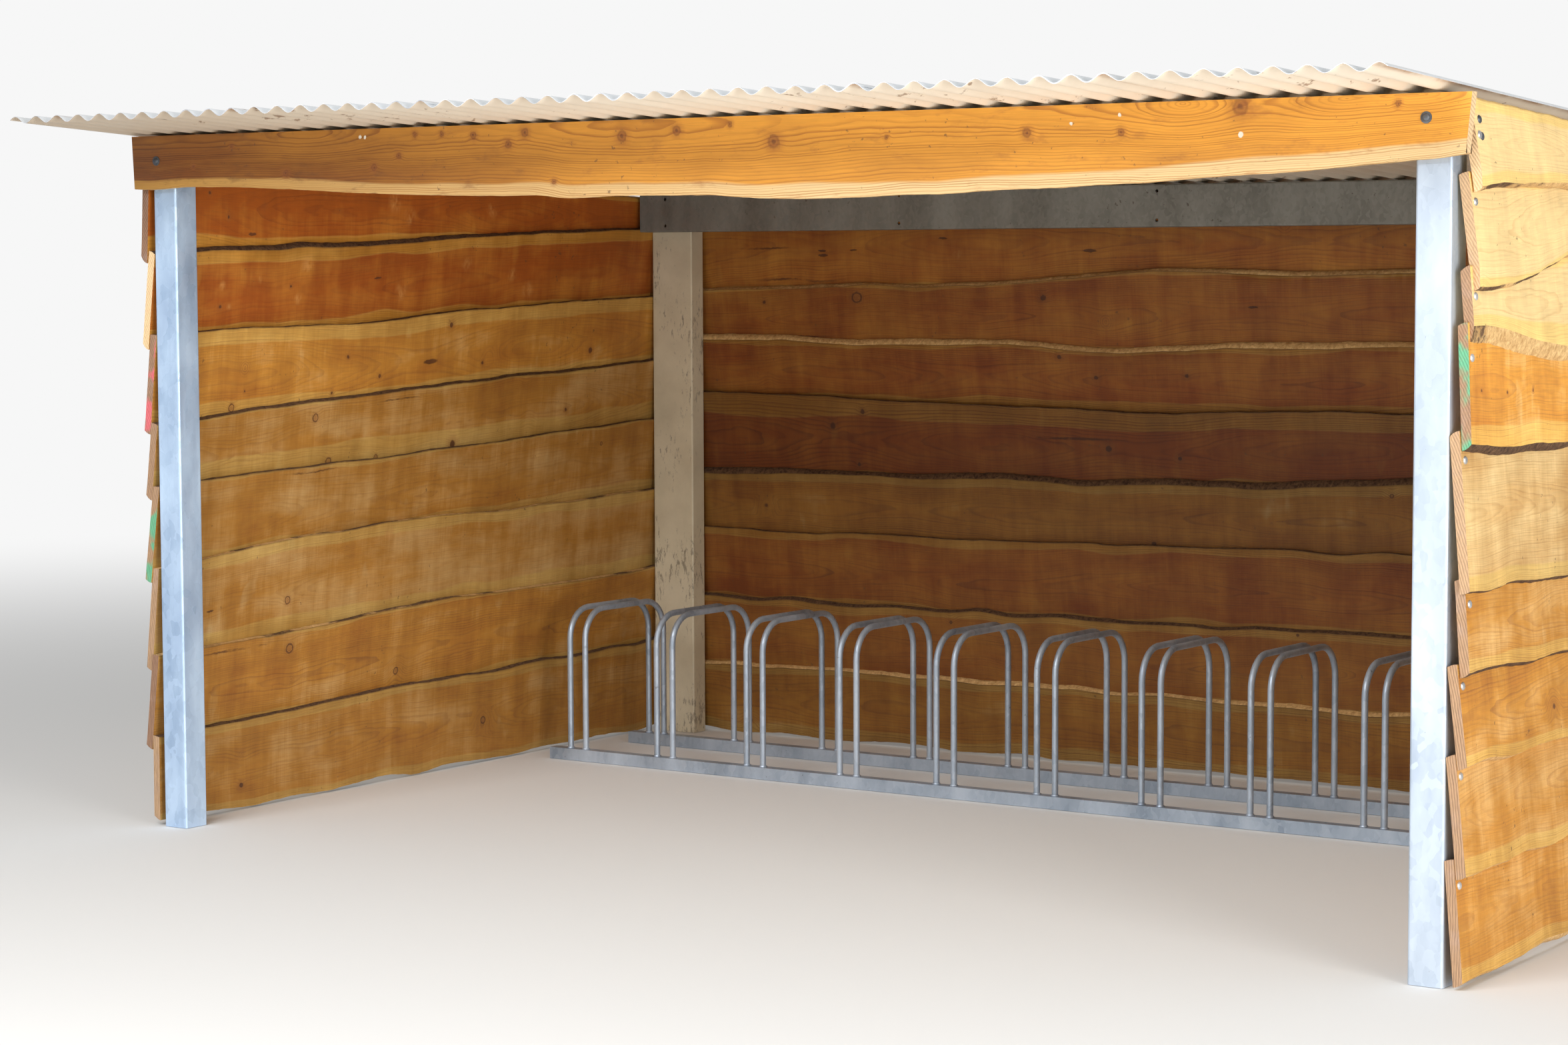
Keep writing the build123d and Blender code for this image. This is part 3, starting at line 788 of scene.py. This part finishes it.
# how far a board's front end stands off the post at its low and high edge, and how far it is set back
standOffs = {
    ("left", 0): (-0.004, 0.012, 0), ("left", 1): (0.012, 0.012, 0), ("left", 2): (0.012, 0.009, 0.004),
    ("left", 3): (0.008, 0, 0), ("left", 7): (0.002, 0.013, 0), ("right", 3): (0, 0.013, 0.006),
    ("right", 5): (0, 0.014, 0.003), ("right", 6): (-0.003, 0.013, 0.012),
    ("right", 7): (0.003, 0.003, 0.024),
    ("right", 8): (0.003, 0.002, 0.03),
}
paints = {("left", 5): 2, ("left", 3): 1, ("right", 5): 1}  # marks on front ends: 1 green, 2 pink


def boardCorners(name, along, out):  # (start or end, low or high, inner or outer) from the CAD board
    points = [v.co for v in nodes[name].data.vertices]
    ends = [min(p.dot(along) for p in points), max(p.dot(along) for p in points)]
    corners = {}
    for side, limit in enumerate(ends):
        here = [p for p in points if abs(p.dot(along) - limit) < 0.012]
        middle = sum(p.z for p in here) / len(here)
        for level, some in enumerate(([p for p in here if p.z < middle], [p for p in here if p.z >= middle])):
            corners[side, level, 0] = min(some, key=lambda p: p.dot(out)).copy()
            corners[side, level, 1] = max(some, key=lambda p: p.dot(out)).copy()
    return corners


def seatBoard(piece, corners, length, height, thick):
    for vertex in piece.data.vertices:
        x, y, z = vertex.co.x / length, vertex.co.y / thick, vertex.co.z / height
        faces = []
        for depth in (0, 1):
            low = corners[0, 0, depth].lerp(corners[1, 0, depth], x)
            high = corners[0, 1, depth].lerp(corners[1, 1, depth], x)
            faces.append(low + (high - low) * z)
        vertex.co = faces[0] + (faces[1] - faces[0]) * y


def makePlank(length, height, thick, columns, rows):  # straight, each point knowing its height
    bpy.ops.mesh.primitive_grid_add(x_subdivisions=columns, y_subdivisions=rows, size=1,
                                    location=(0.5, 0, 0.5), rotation=(math.pi / 2, 0, 0))
    piece = bpy.context.object
    applyPlace(piece)
    rank = piece.data.attributes.new("across", "FLOAT", "POINT")
    rank.data.foreach_set("value", [round(v.co.z, 5) for v in piece.data.vertices])
    startEdit(piece, "SELECT")
    bpy.ops.transform.resize(value=(length, 1, height), center_override=(0, 0, 0))
    for _ in range(3):
        bpy.ops.mesh.extrude_region_move(TRANSFORM_OT_translate={"value": (0, thick / 3, 0)})
    bpy.ops.mesh.select_all(action="SELECT")
    bpy.ops.mesh.normals_make_consistent(inside=False)
    stopEdit()
    return piece


def bendEdges(piece, length, height, pulls):  # a lattice draws the two long edges off straight
    bpy.ops.object.add(type="LATTICE", location=(length / 2, 0, height / 2))
    cage = bpy.context.object
    cage.scale = (length, 1, height)
    cage.data.points_u, cage.data.points_v, cage.data.points_w = len(pulls[0]), 1, 2
    cage.data.interpolation_type_u = "KEY_CARDINAL"
    cage.data.interpolation_type_w = "KEY_LINEAR"
    for level in (0, 1):
        for i, pull in enumerate(pulls[level]):
            cage.data.points[i + len(pulls[level]) * level].co_deform.z += pull / height
    bpy.context.view_layer.update()
    applyModifier(piece, "LATTICE", "bend", object=cage)
    bpy.data.objects.remove(cage)


def edgePulls(pairs, length, stations, chance):  # listed pulls where the edge shows, small swings elsewhere
    pulls = []
    for i in range(stations + 1):
        x = length * 1000 * i / stations
        swing = chance.uniform(-1, 1) * boardLook["swing"]
        if not pairs:
            pulls.append(swing)
            continue
        if x <= pairs[0][0]:
            pulls.append(pairs[0][1])
        elif x >= pairs[-1][0]:
            fade = math.exp((pairs[-1][0] - x) / 300)
            pulls.append(pairs[-1][1] * fade + swing * (1 - fade))
        else:
            for (x0, y0), (x1, y1) in zip(pairs, pairs[1:]):
                if x0 <= x <= x1:
                    pulls.append(y0 + (y1 - y0) * (x - x0) / (x1 - x0))
                    break
    return [pull / 1000 for pull in pulls]


def shapeWane(piece, thick, widths, seed):  # slopes the live edges off one face, as the trunk's round did
    levels = [rank.value for rank in piece.data.attributes["across"].data]
    rims = piece.vertex_groups.new(name="rims")
    for vertex in piece.data.vertices:
        level = levels[vertex.index]
        skin = round(3 * vertex.co.y / thick)
        for edge, width in enumerate(widths):
            share = (0, 0.1, 0.42, 1)[skin if width > 0 else 3 - skin]
            reach = max(0.2, 0.85 + 0.7 * noise.noise(Vector((vertex.co.x * 2.6, seed * 3.1, edge * 7.7))))
            near = max(0, (level if edge else 1 - level) * 2 - 1)
            vertex.co.z += (1 - 2 * edge) * abs(width) * share * reach * near
        if min(level, 1 - level) < 1e-4:
            rims.add([vertex.index], 1.0, "REPLACE")


def roughen(piece, amount, size, way="NORMAL"):  # sway, bark lumps and saw tears along the rims
    texture = bpy.data.textures.new("lumps", "CLOUDS")
    texture.noise_scale = size
    texture.noise_depth = 2
    applyModifier(piece, "DISPLACE", "lumps", texture=texture, strength=amount, mid_level=0.5,
                  direction=way, vertex_group="rims")


def sortFaces(piece):  # 0 sawn face, 1 live edge, 2 end grain
    rank = piece.data.attributes["across"].data
    for face in piece.data.polygons:
        levels = {round(rank[v].value, 3) for v in face.vertices}
        if abs(face.normal.x) > 0.8:
            face.material_index = 2
        elif len(levels) == 1:
            face.material_index = 1


def writeFact(piece, name, values):
    kind = "FLOAT" if isinstance(values[0], (int, float)) else "FLOAT_VECTOR"
    fact = piece.data.attributes.new(name, kind, "POINT")
    if kind == "FLOAT":
        fact.data.foreach_set("value", values)
    else:
        fact.data.foreach_set("vector", [number for value in values for number in value])


def makeWallBoard(wall, number):
    name = f"{wall}_wall_board_{number + 1}"
    way = walls[wall]
    seed = way["seed"] + number
    chance = random.Random(seed)
    corners = boardCorners(name, way["along"], way["out"])
    thick = boardLook["thick"]
    length = (corners[1, 0, 0] - corners[0, 0, 0]).length
    height = ((corners[0, 1, 0] - corners[0, 0, 0]).length + (corners[1, 1, 0] - corners[1, 0, 0]).length) / 2
    stations = round(length / boardLook["station"])
    usualWane = (chance.uniform(0.007, 0.016), chance.random(), chance.uniform(0.004, 0.01), chance.random())
    low, lowBark, high, highBark = wanes.get((wall, number), usualWane)
    piece = makePlank(length, height, thick, round(length / boardLook["column"]), boardLook["rows"])
    piece.name = f"{wall}_board_{number + 1}"
    dress(piece, larchBoards, larchEdge, larchEnd)
    sortFaces(piece)
    shapeWane(piece, thick, (low, -high), seed)
    pulls = [edgePulls(liveEdges.get((wall, number, edge)), length, stations, chance) for edge in (0, 1)]
    bendEdges(piece, length, height, pulls)
    count = len(piece.data.vertices)
    across = [rank.value for rank in piece.data.attributes["across"].data]
    usualSap = (0.03 + 0.02 * noise.noise(Vector((seed * 1.7, 0, 0))), 0.022)
    writeFact(piece, "boardSize", [(length, height, seed)] * count)
    writeFact(piece, "boardWood", [woods[wall][number]] * count)
    writeFact(piece, "boardSap", [(*saps.get((wall, number), usualSap), 0)] * count)
    writeFact(piece, "boardEnd", [ends.get((wall, number), 0.35)] * count)
    writeFact(piece, "boardBark", [lowBark if level < 0.5 else highBark for level in across])
    mark = float(paints.get((wall, number), 0))
    writeFact(piece, "boardPaint", [mark if vertex.co.x < length / 2 else 0.0
                                    for vertex in piece.data.vertices])
    seats[wall, number] = (corners, length, height)
    if (wall, number) in standOffs:
        lowOff, highOff, back = standOffs[wall, number]
        for level, off in enumerate((lowOff, highOff)):
            for depth in (0, 1):
                corners[0, level, depth] += way["out"] * off + way["along"] * back
    seatBoard(piece, corners, length, height, thick)
    startEdit(piece, "SELECT")
    bpy.ops.mesh.normals_make_consistent(inside=False)
    stopEdit()
    roughen(piece, boardLook["sway"], 0.11, "Z")
    roughen(piece, boardLook["lumps"], 0.028)
    for vertex in piece.data.vertices:  # no wider than the solids
        vertex.co = [min(max(place, low), high) for place, low, high in zip(vertex.co, *cadBox)]
    smooth(piece, 50)
    fit(piece, "wall_wood", name)


seats = {}
for wall in walls:
    for number in range(walls[wall]["count"]):
        makeWallBoard(wall, number)
    print(wall, "wall boarded")


# Fascia board

fascia = {
    "depths": ((9, 139), (30, 143), (180, 136), (365, 139), (590, 149), (737, 158), (951, 167), (1160, 173),
               (1296, 175), (1376, 174), (1429, 182), (1495, 183), (1625, 179), (1902, 182), (2001, 190),
               (2133, 194), (2307, 193), (2426, 188), (2520, 189), (2658, 182), (2827, 179), (2937, 174),
               (3045, 172), (3151, 165), (3256, 160), (3359, 157), (3460, 150), (3559, 143), (3657, 136),
               (3753, 130), (3780, 127)),
    "height": 0.16, "stations": 60, "columns": 380, "rows": 6, "slantLeft": 0.009, "slantRight": 0.016,
    "wide": 0.17, "pith": 0.162, "depth": 0.042, "ring": 0.0058, "seed": 4.2,
    # arched grain by its middle, half length and rise
    "arches": ((3.3, 0.3, -0.06), (3.66, 0.14, -0.02), (0.65, 0.26, -0.02)),
    # knots by distance along and down from the top left corner, and radius
    "knots": ((0.552, 0.107, 0.008), (0.851, 0.097, 0.008), (0.933, 0.069, 0.007), (1.176, 0.025, 0.008),
              (1.285, 0.049, 0.009), (1.338, 0.022, 0.01), (1.073, 0.019, 0.006), (0.987, 0.019, 0.006),
              (0.362, 0.033, 0.005), (0.224, 0.083, 0.005), (1.634, 0.038, 0.012), (1.427, 0.143, 0.006),
              (2.749, 0.058, 0.009), (2.984, 0.063, 0.007), (3.627, 0.02, 0.006), (1.796, 0.029, 0.01),
              (2.073, 0.061, 0.014), (1.95, 0.018, 0.006), (2.383, 0.059, 0.005), (3.268, 0.016, 0.016)),
    "spots": ((0.806, 0.02, 0.005), (0.822, 0.021, 0.004), (2.98, 0.026, 0.004), (3.27, 0.075, 0.006),
              (2.86, 0.04, 0.004)),
}


def nearPoints(along, down, points, edge):  # distance to the nearest of some listed points, and their mask
    nearest = 9.0
    for x, z, radius in points:
        off = vector(minus(along, x), minus(down, z))
        far = put("VectorMath", {0: off}, operation="LENGTH").outputs["Value"]
        nearest = calc("MINIMUM", calc("DIVIDE", far, radius), nearest)
    return nearest, step(nearest, 1 - edge, 1 + edge, 1.0, 0.0)


def makeFasciaFace():
    material, shader = startMaterial("fasciaFace")
    low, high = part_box("fascia_board")
    spot = split(here())
    along = minus(spot[0], low.x)
    down = minus(high.z, spot[2])
    ripple = minus(cloud(vector(times(along, 70.0), times(down, 70.0)), 1.0, 3.0), 0.5)
    bent = timesPlus(ripple, 0.01, down)
    nearest, core = nearPoints(timesPlus(ripple, 0.012, along), bent, fascia["knots"], 0.3)
    spots = nearPoints(along, bent, fascia["spots"], 0.15)[1]
    fromEdge = times(uvPlace()[1], fascia["wide"])
    bulge = step(nearest, 0.0, 4.0, 0.006, 0.0)
    across = plus(minus(fascia["pith"], fromEdge), bulge)
    depth = fascia["depth"]
    for middle, half, rise in fascia["arches"]:
        off = calc("DIVIDE", calc("ABSOLUTE", minus(along, middle)), half)
        depth = plus(depth, step(off, 0.0, 1.0, rise, 0.0))
    place = vector(along, across, fascia["seed"])
    figure = useGroup(woodFigure, {"Place": place, "Depth": depth, "Ring": fascia["ring"], "Knots": 0.0})
    drift = cloud(vector(times(along, 2.6), 0.0), 1.0, 2.0)
    sapWidth = plus(span(drift, 0.3, 0.7, 0.022, 0.032), span(along, 2.9, 3.7, 0.0, 0.012))
    sap = step(minus(fromEdge, sapWidth), -0.003, 0.006, 1.0, 0.0)
    # painted shade: the fascia darkens steeply towards its left end, which stands in shade
    lit = plus(span(along, 0.2, 1.9, 0.05, 0.84), span(along, 2.0, 3.7, 0.0, 0.04))
    shade = calc("ADD", lit, times(swing(figure["Mottle"]), 0.4), clamp=True)
    # lighter along the top edge, darker lower down
    shade = calc("ADD", shade, span(down, 0.02, 0.12, 0.12, -0.12), clamp=True)
    heart = layer(tint(shade, (0.23, 0.07, 0.008), (0.8, 0.36, 0.042)),
                  (times(figure["Late"], 0.75), tint(shade, (0.09, 0.024, 0.005), (0.42, 0.14, 0.017))))
    # the sapwood is painted darker towards the left end too, with the same shade
    pale = layer(tint(span(along, 0.0, 2.2), (0.56, 0.29, 0.05), (0.73, 0.53, 0.27)),
                 (times(figure["Late"], 0.85), (0.42, 0.18, 0.04)))
    blots = cloud(vector(times(along, 9.0), times(down, 22.0), 3.0), 1.0, 4.0, 0.65)
    specksAndFilm = useGroup(grimeAndShade, {"Place": here(), "Specks": 0.5})
    colour = layer(
        heart, (times(sap, 0.94), pale),
        (step(blots, 0.54, 0.72, 0.0, 0.5), tint(shade, (0.13, 0.05, 0.015), (0.42, 0.15, 0.03))),
        (step(nearest, 0.6, 3.0, 0.5, 0.0), (0.32, 0.1, 0.02)),
        (times(core, 0.45), (0.24, 0.075, 0.02)),
        (times(step(nearest, 0.6, 0.95), step(nearest, 1.0, 1.4, 0.35, 0.0)), (0.14, 0.04, 0.01)),
        (step(nearest, 0.15, 0.6, 0.6, 0.0), (0.1, 0.03, 0.01)))
    colour = layer(
        darken(colour, span(figure["Fibre"], 0.25, 0.75, 0.9, 1.08)),
        (times(specksAndFilm["Specks"], 0.6), (0.1, 0.05, 0.03)),
        # painted shade: a darker film over the last 0.2 m of the left end
        (times(step(along, 0.0, 0.2, 0.4, 0.0), specksAndFilm["Film"]), (0.09, 0.05, 0.04)),
        (spots, (0.8, 0.74, 0.62)))
    link(colour, shader.inputs["Base Color"])
    link(span(figure["Fibre"], 0.0, 1.0, 0.5, 0.72), shader.inputs["Roughness"])
    relief(shader, timesPlus(figure["Fibre"], 0.5, times(figure["Late"], 0.5)), 0.0009, 0.7)
    return material


def makeFascia():
    low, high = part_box("fascia_board")
    length, thick, height = high.x - low.x, high.y - low.y, fascia["height"]
    piece = makePlank(length, height, thick, fascia["columns"], fascia["rows"])
    piece.name = "fascia"
    dress(piece, makeFasciaFace(), larchEdge, larchEnd)
    sortFaces(piece)
    rims = piece.vertex_groups.new(name="rims")
    rank = piece.data.attributes["across"].data
    rims.add([vertex.index for vertex in piece.data.vertices if rank[vertex.index].value < 1e-4], 1.0,
             "REPLACE")
    pulls = [height - depth for depth in edgePulls(fascia["depths"], length, fascia["stations"],
                                                   random.Random(1))]
    bendEdges(piece, length, height, [pulls, [0] * len(pulls)])
    for vertex in piece.data.vertices:
        lean = (height - vertex.co.z) / height
        if vertex.co.x < 1e-4:
            vertex.co.x += fascia["slantLeft"] * lean
        elif vertex.co.x > length - 1e-4:
            vertex.co.x -= fascia["slantRight"] * lean
        vertex.co += Vector((low.x, low.y, high.z - height))
    roughen(piece, 0.0028, 0.035, "Z")
    count = len(piece.data.vertices)
    writeFact(piece, "boardBark", [0.12] * count)
    writeFact(piece, "boardPaint", [0.0] * count)
    writeFact(piece, "boardEnd", [0.95] * count)
    smooth(piece, 40)
    fit(piece, "fascia_wood", "fascia_board")


makeFascia()
print("fascia made")


# Wheel hoops

hoop = {"radius": 0.009, "bend": 0.09, "sides": 20, "steps": 8, "gap": 0.058, "pitch": 0.328, "bead": 0.0035}


def makeHoop(frontY, rearY, footZ, topZ):
    bpy.ops.mesh.primitive_circle_add(vertices=hoop["sides"], radius=hoop["radius"],
                                      location=(0, frontY, footZ))
    tube = bpy.context.object
    applyPlace(tube)
    bendZ = topZ - hoop["radius"] - hoop["bend"]
    startEdit(tube, "SELECT")
    bpy.ops.mesh.extrude_region_move(TRANSFORM_OT_translate={"value": (0, 0, bendZ - footZ)})
    bpy.ops.mesh.spin(steps=hoop["steps"], angle=math.pi / 2, center=(0, frontY + hoop["bend"], bendZ),
                      axis=(1, 0, 0))
    bpy.ops.mesh.extrude_region_move(TRANSFORM_OT_translate={"value": (0, rearY - frontY - 2 * hoop["bend"],
                                                                       0)})
    bpy.ops.mesh.spin(steps=hoop["steps"], angle=math.pi / 2, center=(0, rearY - hoop["bend"], bendZ),
                      axis=(1, 0, 0))
    bpy.ops.mesh.extrude_region_move(TRANSFORM_OT_translate={"value": (0, 0, footZ - bendZ)})
    bpy.ops.mesh.select_all(action="SELECT")
    bpy.ops.mesh.remove_doubles(threshold=1e-5)
    bpy.ops.mesh.fill_holes(sides=hoop["sides"])
    bpy.ops.mesh.normals_make_consistent(inside=False)
    stopEdit()
    beads = []
    for y in (frontY, rearY):
        bpy.ops.mesh.primitive_torus_add(major_radius=hoop["radius"], minor_radius=hoop["bead"],
                                         major_segments=18, minor_segments=6,
                                         location=(0, y, footZ + hoop["bead"] * 0.4))
        beads.append(bpy.context.object)
        applyPlace(beads[-1])
        roughBead = bpy.data.textures.new("bead", "CLOUDS")
        roughBead.noise_scale = 0.006
        applyModifier(beads[-1], "DISPLACE", "bead", texture=roughBead, strength=0.003, mid_level=0.5)
    return joinPieces([tube] + beads, "hoop")


def makeHoops():
    frontLow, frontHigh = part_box("rack_front_rail")
    rearLow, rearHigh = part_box("rack_rear_rail")
    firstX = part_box("rack_hoops_1")[0].x + 0.0097
    pattern = makeHoop((frontLow.y + frontHigh.y) / 2, (rearLow.y + rearHigh.y) / 2, frontHigh.z,
                       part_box("rack_hoops_1")[1].z - 0.0006)
    for node in range(6):
        hoops = []
        for place in range(2 * node, min(2 * node + 2, 11)):
            for side in (0, 1):
                hoops.append(copyPiece(pattern, "hoop",
                                       (firstX + place * hoop["pitch"] + side * hoop["gap"], 0, 0)))
        piece = joinPieces(hoops, f"wheel_hoops_{node + 1}")
        dress(piece, rackZinc)
        smooth(piece, 40)
        fit(piece, "rack_steel", f"rack_hoops_{node + 1}")
    bpy.data.objects.remove(pattern)


makeHoops()
print("hoops bent")


# Screws and bolts

fixing = {
    "screw": (0.009, 0.0045), "bolt": (0.0085, 0.005), "washer": (0.0125, 0.002),
    "roofWasher": (0.011, 0.0025),
    "fasciaBolts": ((0.089, 0.066), (3.689, 0.05)), "underLap": 0.05, "inFront": 0.016, "inRear": 0.034,
    "crestStep": 4,
}


def makeHead(radius, rise):  # low dome on a flat base, its base at the origin
    bpy.ops.mesh.primitive_uv_sphere_add(segments=16, ring_count=10, radius=radius)
    head = bpy.context.object
    startEdit(head, "SELECT")
    bpy.ops.mesh.bisect(plane_co=(0, 0, 0), plane_no=(0, 0, 1), clear_inner=True, use_fill=True)
    bpy.ops.mesh.select_all(action="SELECT")
    bpy.ops.transform.resize(value=(1, 1, rise / radius), center_override=(0, 0, 0))
    stopEdit()
    return head


def makeWasher(radius, rise):
    bpy.ops.mesh.primitive_cylinder_add(vertices=24, radius=radius, depth=rise, location=(0, 0, rise / 2))
    washer = bpy.context.object
    applyPlace(washer)
    applyModifier(washer, "BEVEL", "edge", width=rise * 0.3, segments=2)
    return washer


def placeCopy(pattern, spot, normal):
    alone(pattern)
    bpy.ops.object.duplicate(linked=False)
    twin = bpy.context.object
    twin.location = spot
    twin.rotation_euler = normal.to_track_quat("Z", "Y").to_euler()
    applyPlace(twin)
    return twin


def boardSpot(wall, number, along, down):  # point and outward normal on a board's outer face
    corners, length, height = seats[wall, number]
    low = corners[0, 0, 1].lerp(corners[1, 0, 1], along / length)
    high = corners[0, 1, 1].lerp(corners[1, 1, 1], along / length)
    inner = corners[0, 1, 0].lerp(corners[1, 1, 0], along / length)
    return high + (low - high) * down / height, (high - inner).normalized()


def makeFixings():
    head = makeHead(*fixing["screw"])
    bolt = makeHead(*fixing["bolt"])
    washer = makeWasher(*fixing["washer"])
    roofWasher = makeWasher(*fixing["roofWasher"])
    chance = random.Random(7)
    for wall in walls:
        screws = []
        for number in range(walls[wall]["count"]):
            length = seats[wall, number][1]
            top = number == walls[wall]["count"] - 1
            lapPairs = liveEdges.get((wall, number + 1, 0), ((0, 0),))
            for along in (fixing["inFront"], length - fixing["inRear"]):
                sag = -lapPairs[0][1] / 1000 if along < 0.1 else 0.0
                down = 0.06 if top else fixing["underLap"] + sag + chance.uniform(0, 0.006)
                screws.append(placeCopy(head, *boardSpot(wall, number, along + chance.uniform(0, 0.004),
                                                         down)))
        screws = joinPieces(screws, f"{wall}_wall_screws")
        dress(screws, screwSteel)
        smooth(screws)
        fit(screws, "galvanised_steel")
    low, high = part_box("fascia_board")
    parts = []
    for along, down in fixing["fasciaBolts"]:
        spot = Vector((low.x + along, low.y, high.z - down))
        parts.append(placeCopy(washer, spot + Vector((0, 0.0005, 0)), Vector((0, -1, 0))))
        parts.append(placeCopy(bolt, spot - Vector((0, fixing["washer"][1] - 0.0006, 0)), Vector((0, -1, 0))))
    parts += [placeCopy(head, *boardSpot("right", 8, 0.03, down)) for down in (0.035, 0.062)]
    bolts = joinPieces(parts, "dark_bolts")
    dress(bolts, boltSteel)
    smooth(bolts)
    fit(bolts, "galvanised_steel")
    low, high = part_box("roof_sheet_1")
    run, fall = sheetFall("roof_sheet_1")
    slope = math.atan2(fall, run)
    normal = Vector((0, math.sin(slope), math.cos(slope)))
    parts = []
    for beam in ("front_beam", "rear_beam"):
        middle = sum(corner.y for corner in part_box(beam)) / 2
        for crest in range(1, 50, fixing["crestStep"]):
            x = low.x + roof["pitch"] * (crest + 0.25)
            z = high.z - (middle - low.y) * math.tan(slope) - 0.0006
            parts.append(placeCopy(roofWasher, Vector((x, middle, z)), normal))
            parts.append(placeCopy(head, Vector((x, middle, z + 0.002)), normal))
    caps = joinPieces(parts, "roof_screws")
    dress(caps, screwSteel)
    smooth(caps)
    fit(caps, "galvanised_steel")
    for pattern in (head, bolt, washer, roofWasher):
        bpy.data.objects.remove(pattern)


makeFixings()
print("screws driven")


# Steel that keeps its solids

# the left post gets the bluer copy of the zinc, with painted sky light
dress(nodes["front_left_post"], shadeZinc)
dress(nodes["front_right_post"], postZinc)
for name in ("front_beam", "rear_beam"):
    dress(nodes[name], beamZinc)
for name in ("rear_left_post", "rear_right_post"):
    dress(nodes[name], oldPaint)
for name in ("rack_front_rail", "rack_rear_rail"):
    dress(nodes[name], rackZinc)


# Floor, lights and camera

stage = {"floor": (0.74, 0.74, 0.73), "back": 0.93, "ambient": 0.43}


def makeFloor():  # pale floor that turns into the white backdrop with distance
    bpy.ops.mesh.primitive_plane_add(size=160, location=(0, 0, -0.001))
    floor = bpy.context.object
    floor.name = "floor"
    material, shader = startMaterial("paleFloor")
    shader.inputs["Base Color"].default_value = (*stage["floor"], 1)
    shader.inputs["Roughness"].default_value = 0.9
    far = put("VectorMath", {0: here()}, operation="LENGTH").outputs["Value"]
    seen = times(step(far, 3.0, 11.0), put("LightPath").outputs["Is Camera Ray"])
    back = put("Emission", {"Color": (1, 1, 1, 1), "Strength": stage["back"]})
    blend = put("MixShader", {0: seen, 1: shader.outputs[0], 2: back.outputs[0]})
    out = next(node for node in material.node_tree.nodes if node.type == "OUTPUT_MATERIAL")
    link(blend.outputs[0], out.inputs[0])
    dress(floor, material)


def makeWorld():
    world = bpy.data.worlds.new("studio")
    bpy.context.scene.world = world
    world.use_nodes = True
    startTree(world.node_tree)
    seen = put("LightPath").outputs
    shown = calc("MAXIMUM", seen["Is Camera Ray"], seen["Is Transmission Ray"])
    strength = span(shown, 0.0, 1.0, stage["ambient"], stage["back"])
    light = put("Background", {"Color": (1, 1, 1, 1), "Strength": strength})
    link(light.outputs[0], put("OutputWorld").inputs[0])


def addLamp(name, place, target, size, energy, colour=(1, 1, 1)):
    bpy.ops.object.light_add(type="AREA", location=place)
    lamp = bpy.context.object
    lamp.name = name
    lamp.data.shape = "RECTANGLE"
    lamp.data.size, lamp.data.size_y = size
    lamp.data.energy = energy
    lamp.data.color = colour
    lamp.visible_camera = False
    lamp.rotation_euler = (Vector(target) - Vector(place)).to_track_quat("-Z", "Y").to_euler()


makeFloor()
makeWorld()
addLamp("front_softbox", (0.1, -6.6, 5.2), (0.1, -1, 1.2), (6, 3), 480)
addLamp("right_softbox", (8.5, -4.4, 1.8), (0, -0.6, 0.9), (3.5, 3.5), 470, (1, 0.98, 0.95))
addLamp("ground_bounce", (1.6, -3.1, 0.06), (0.8, -1.3, 1.8), (4.6, 1.4), 55, (1, 0.96, 0.9))

camera = bpy.data.objects.new("camera", bpy.data.cameras.new("camera"))
bpy.context.scene.collection.objects.link(camera)
camera.location = (4.59774, -7.41954, 1.51064)
camera.rotation_euler = [math.radians(turn) for turn in (85.5435, 0.2056, 34.3021)]
camera.data.sensor_width = 36
camera.data.lens = 76.365
camera.data.clip_end = 200
bpy.context.scene.camera = camera
bpy.context.scene.view_settings.view_transform = "Standard"
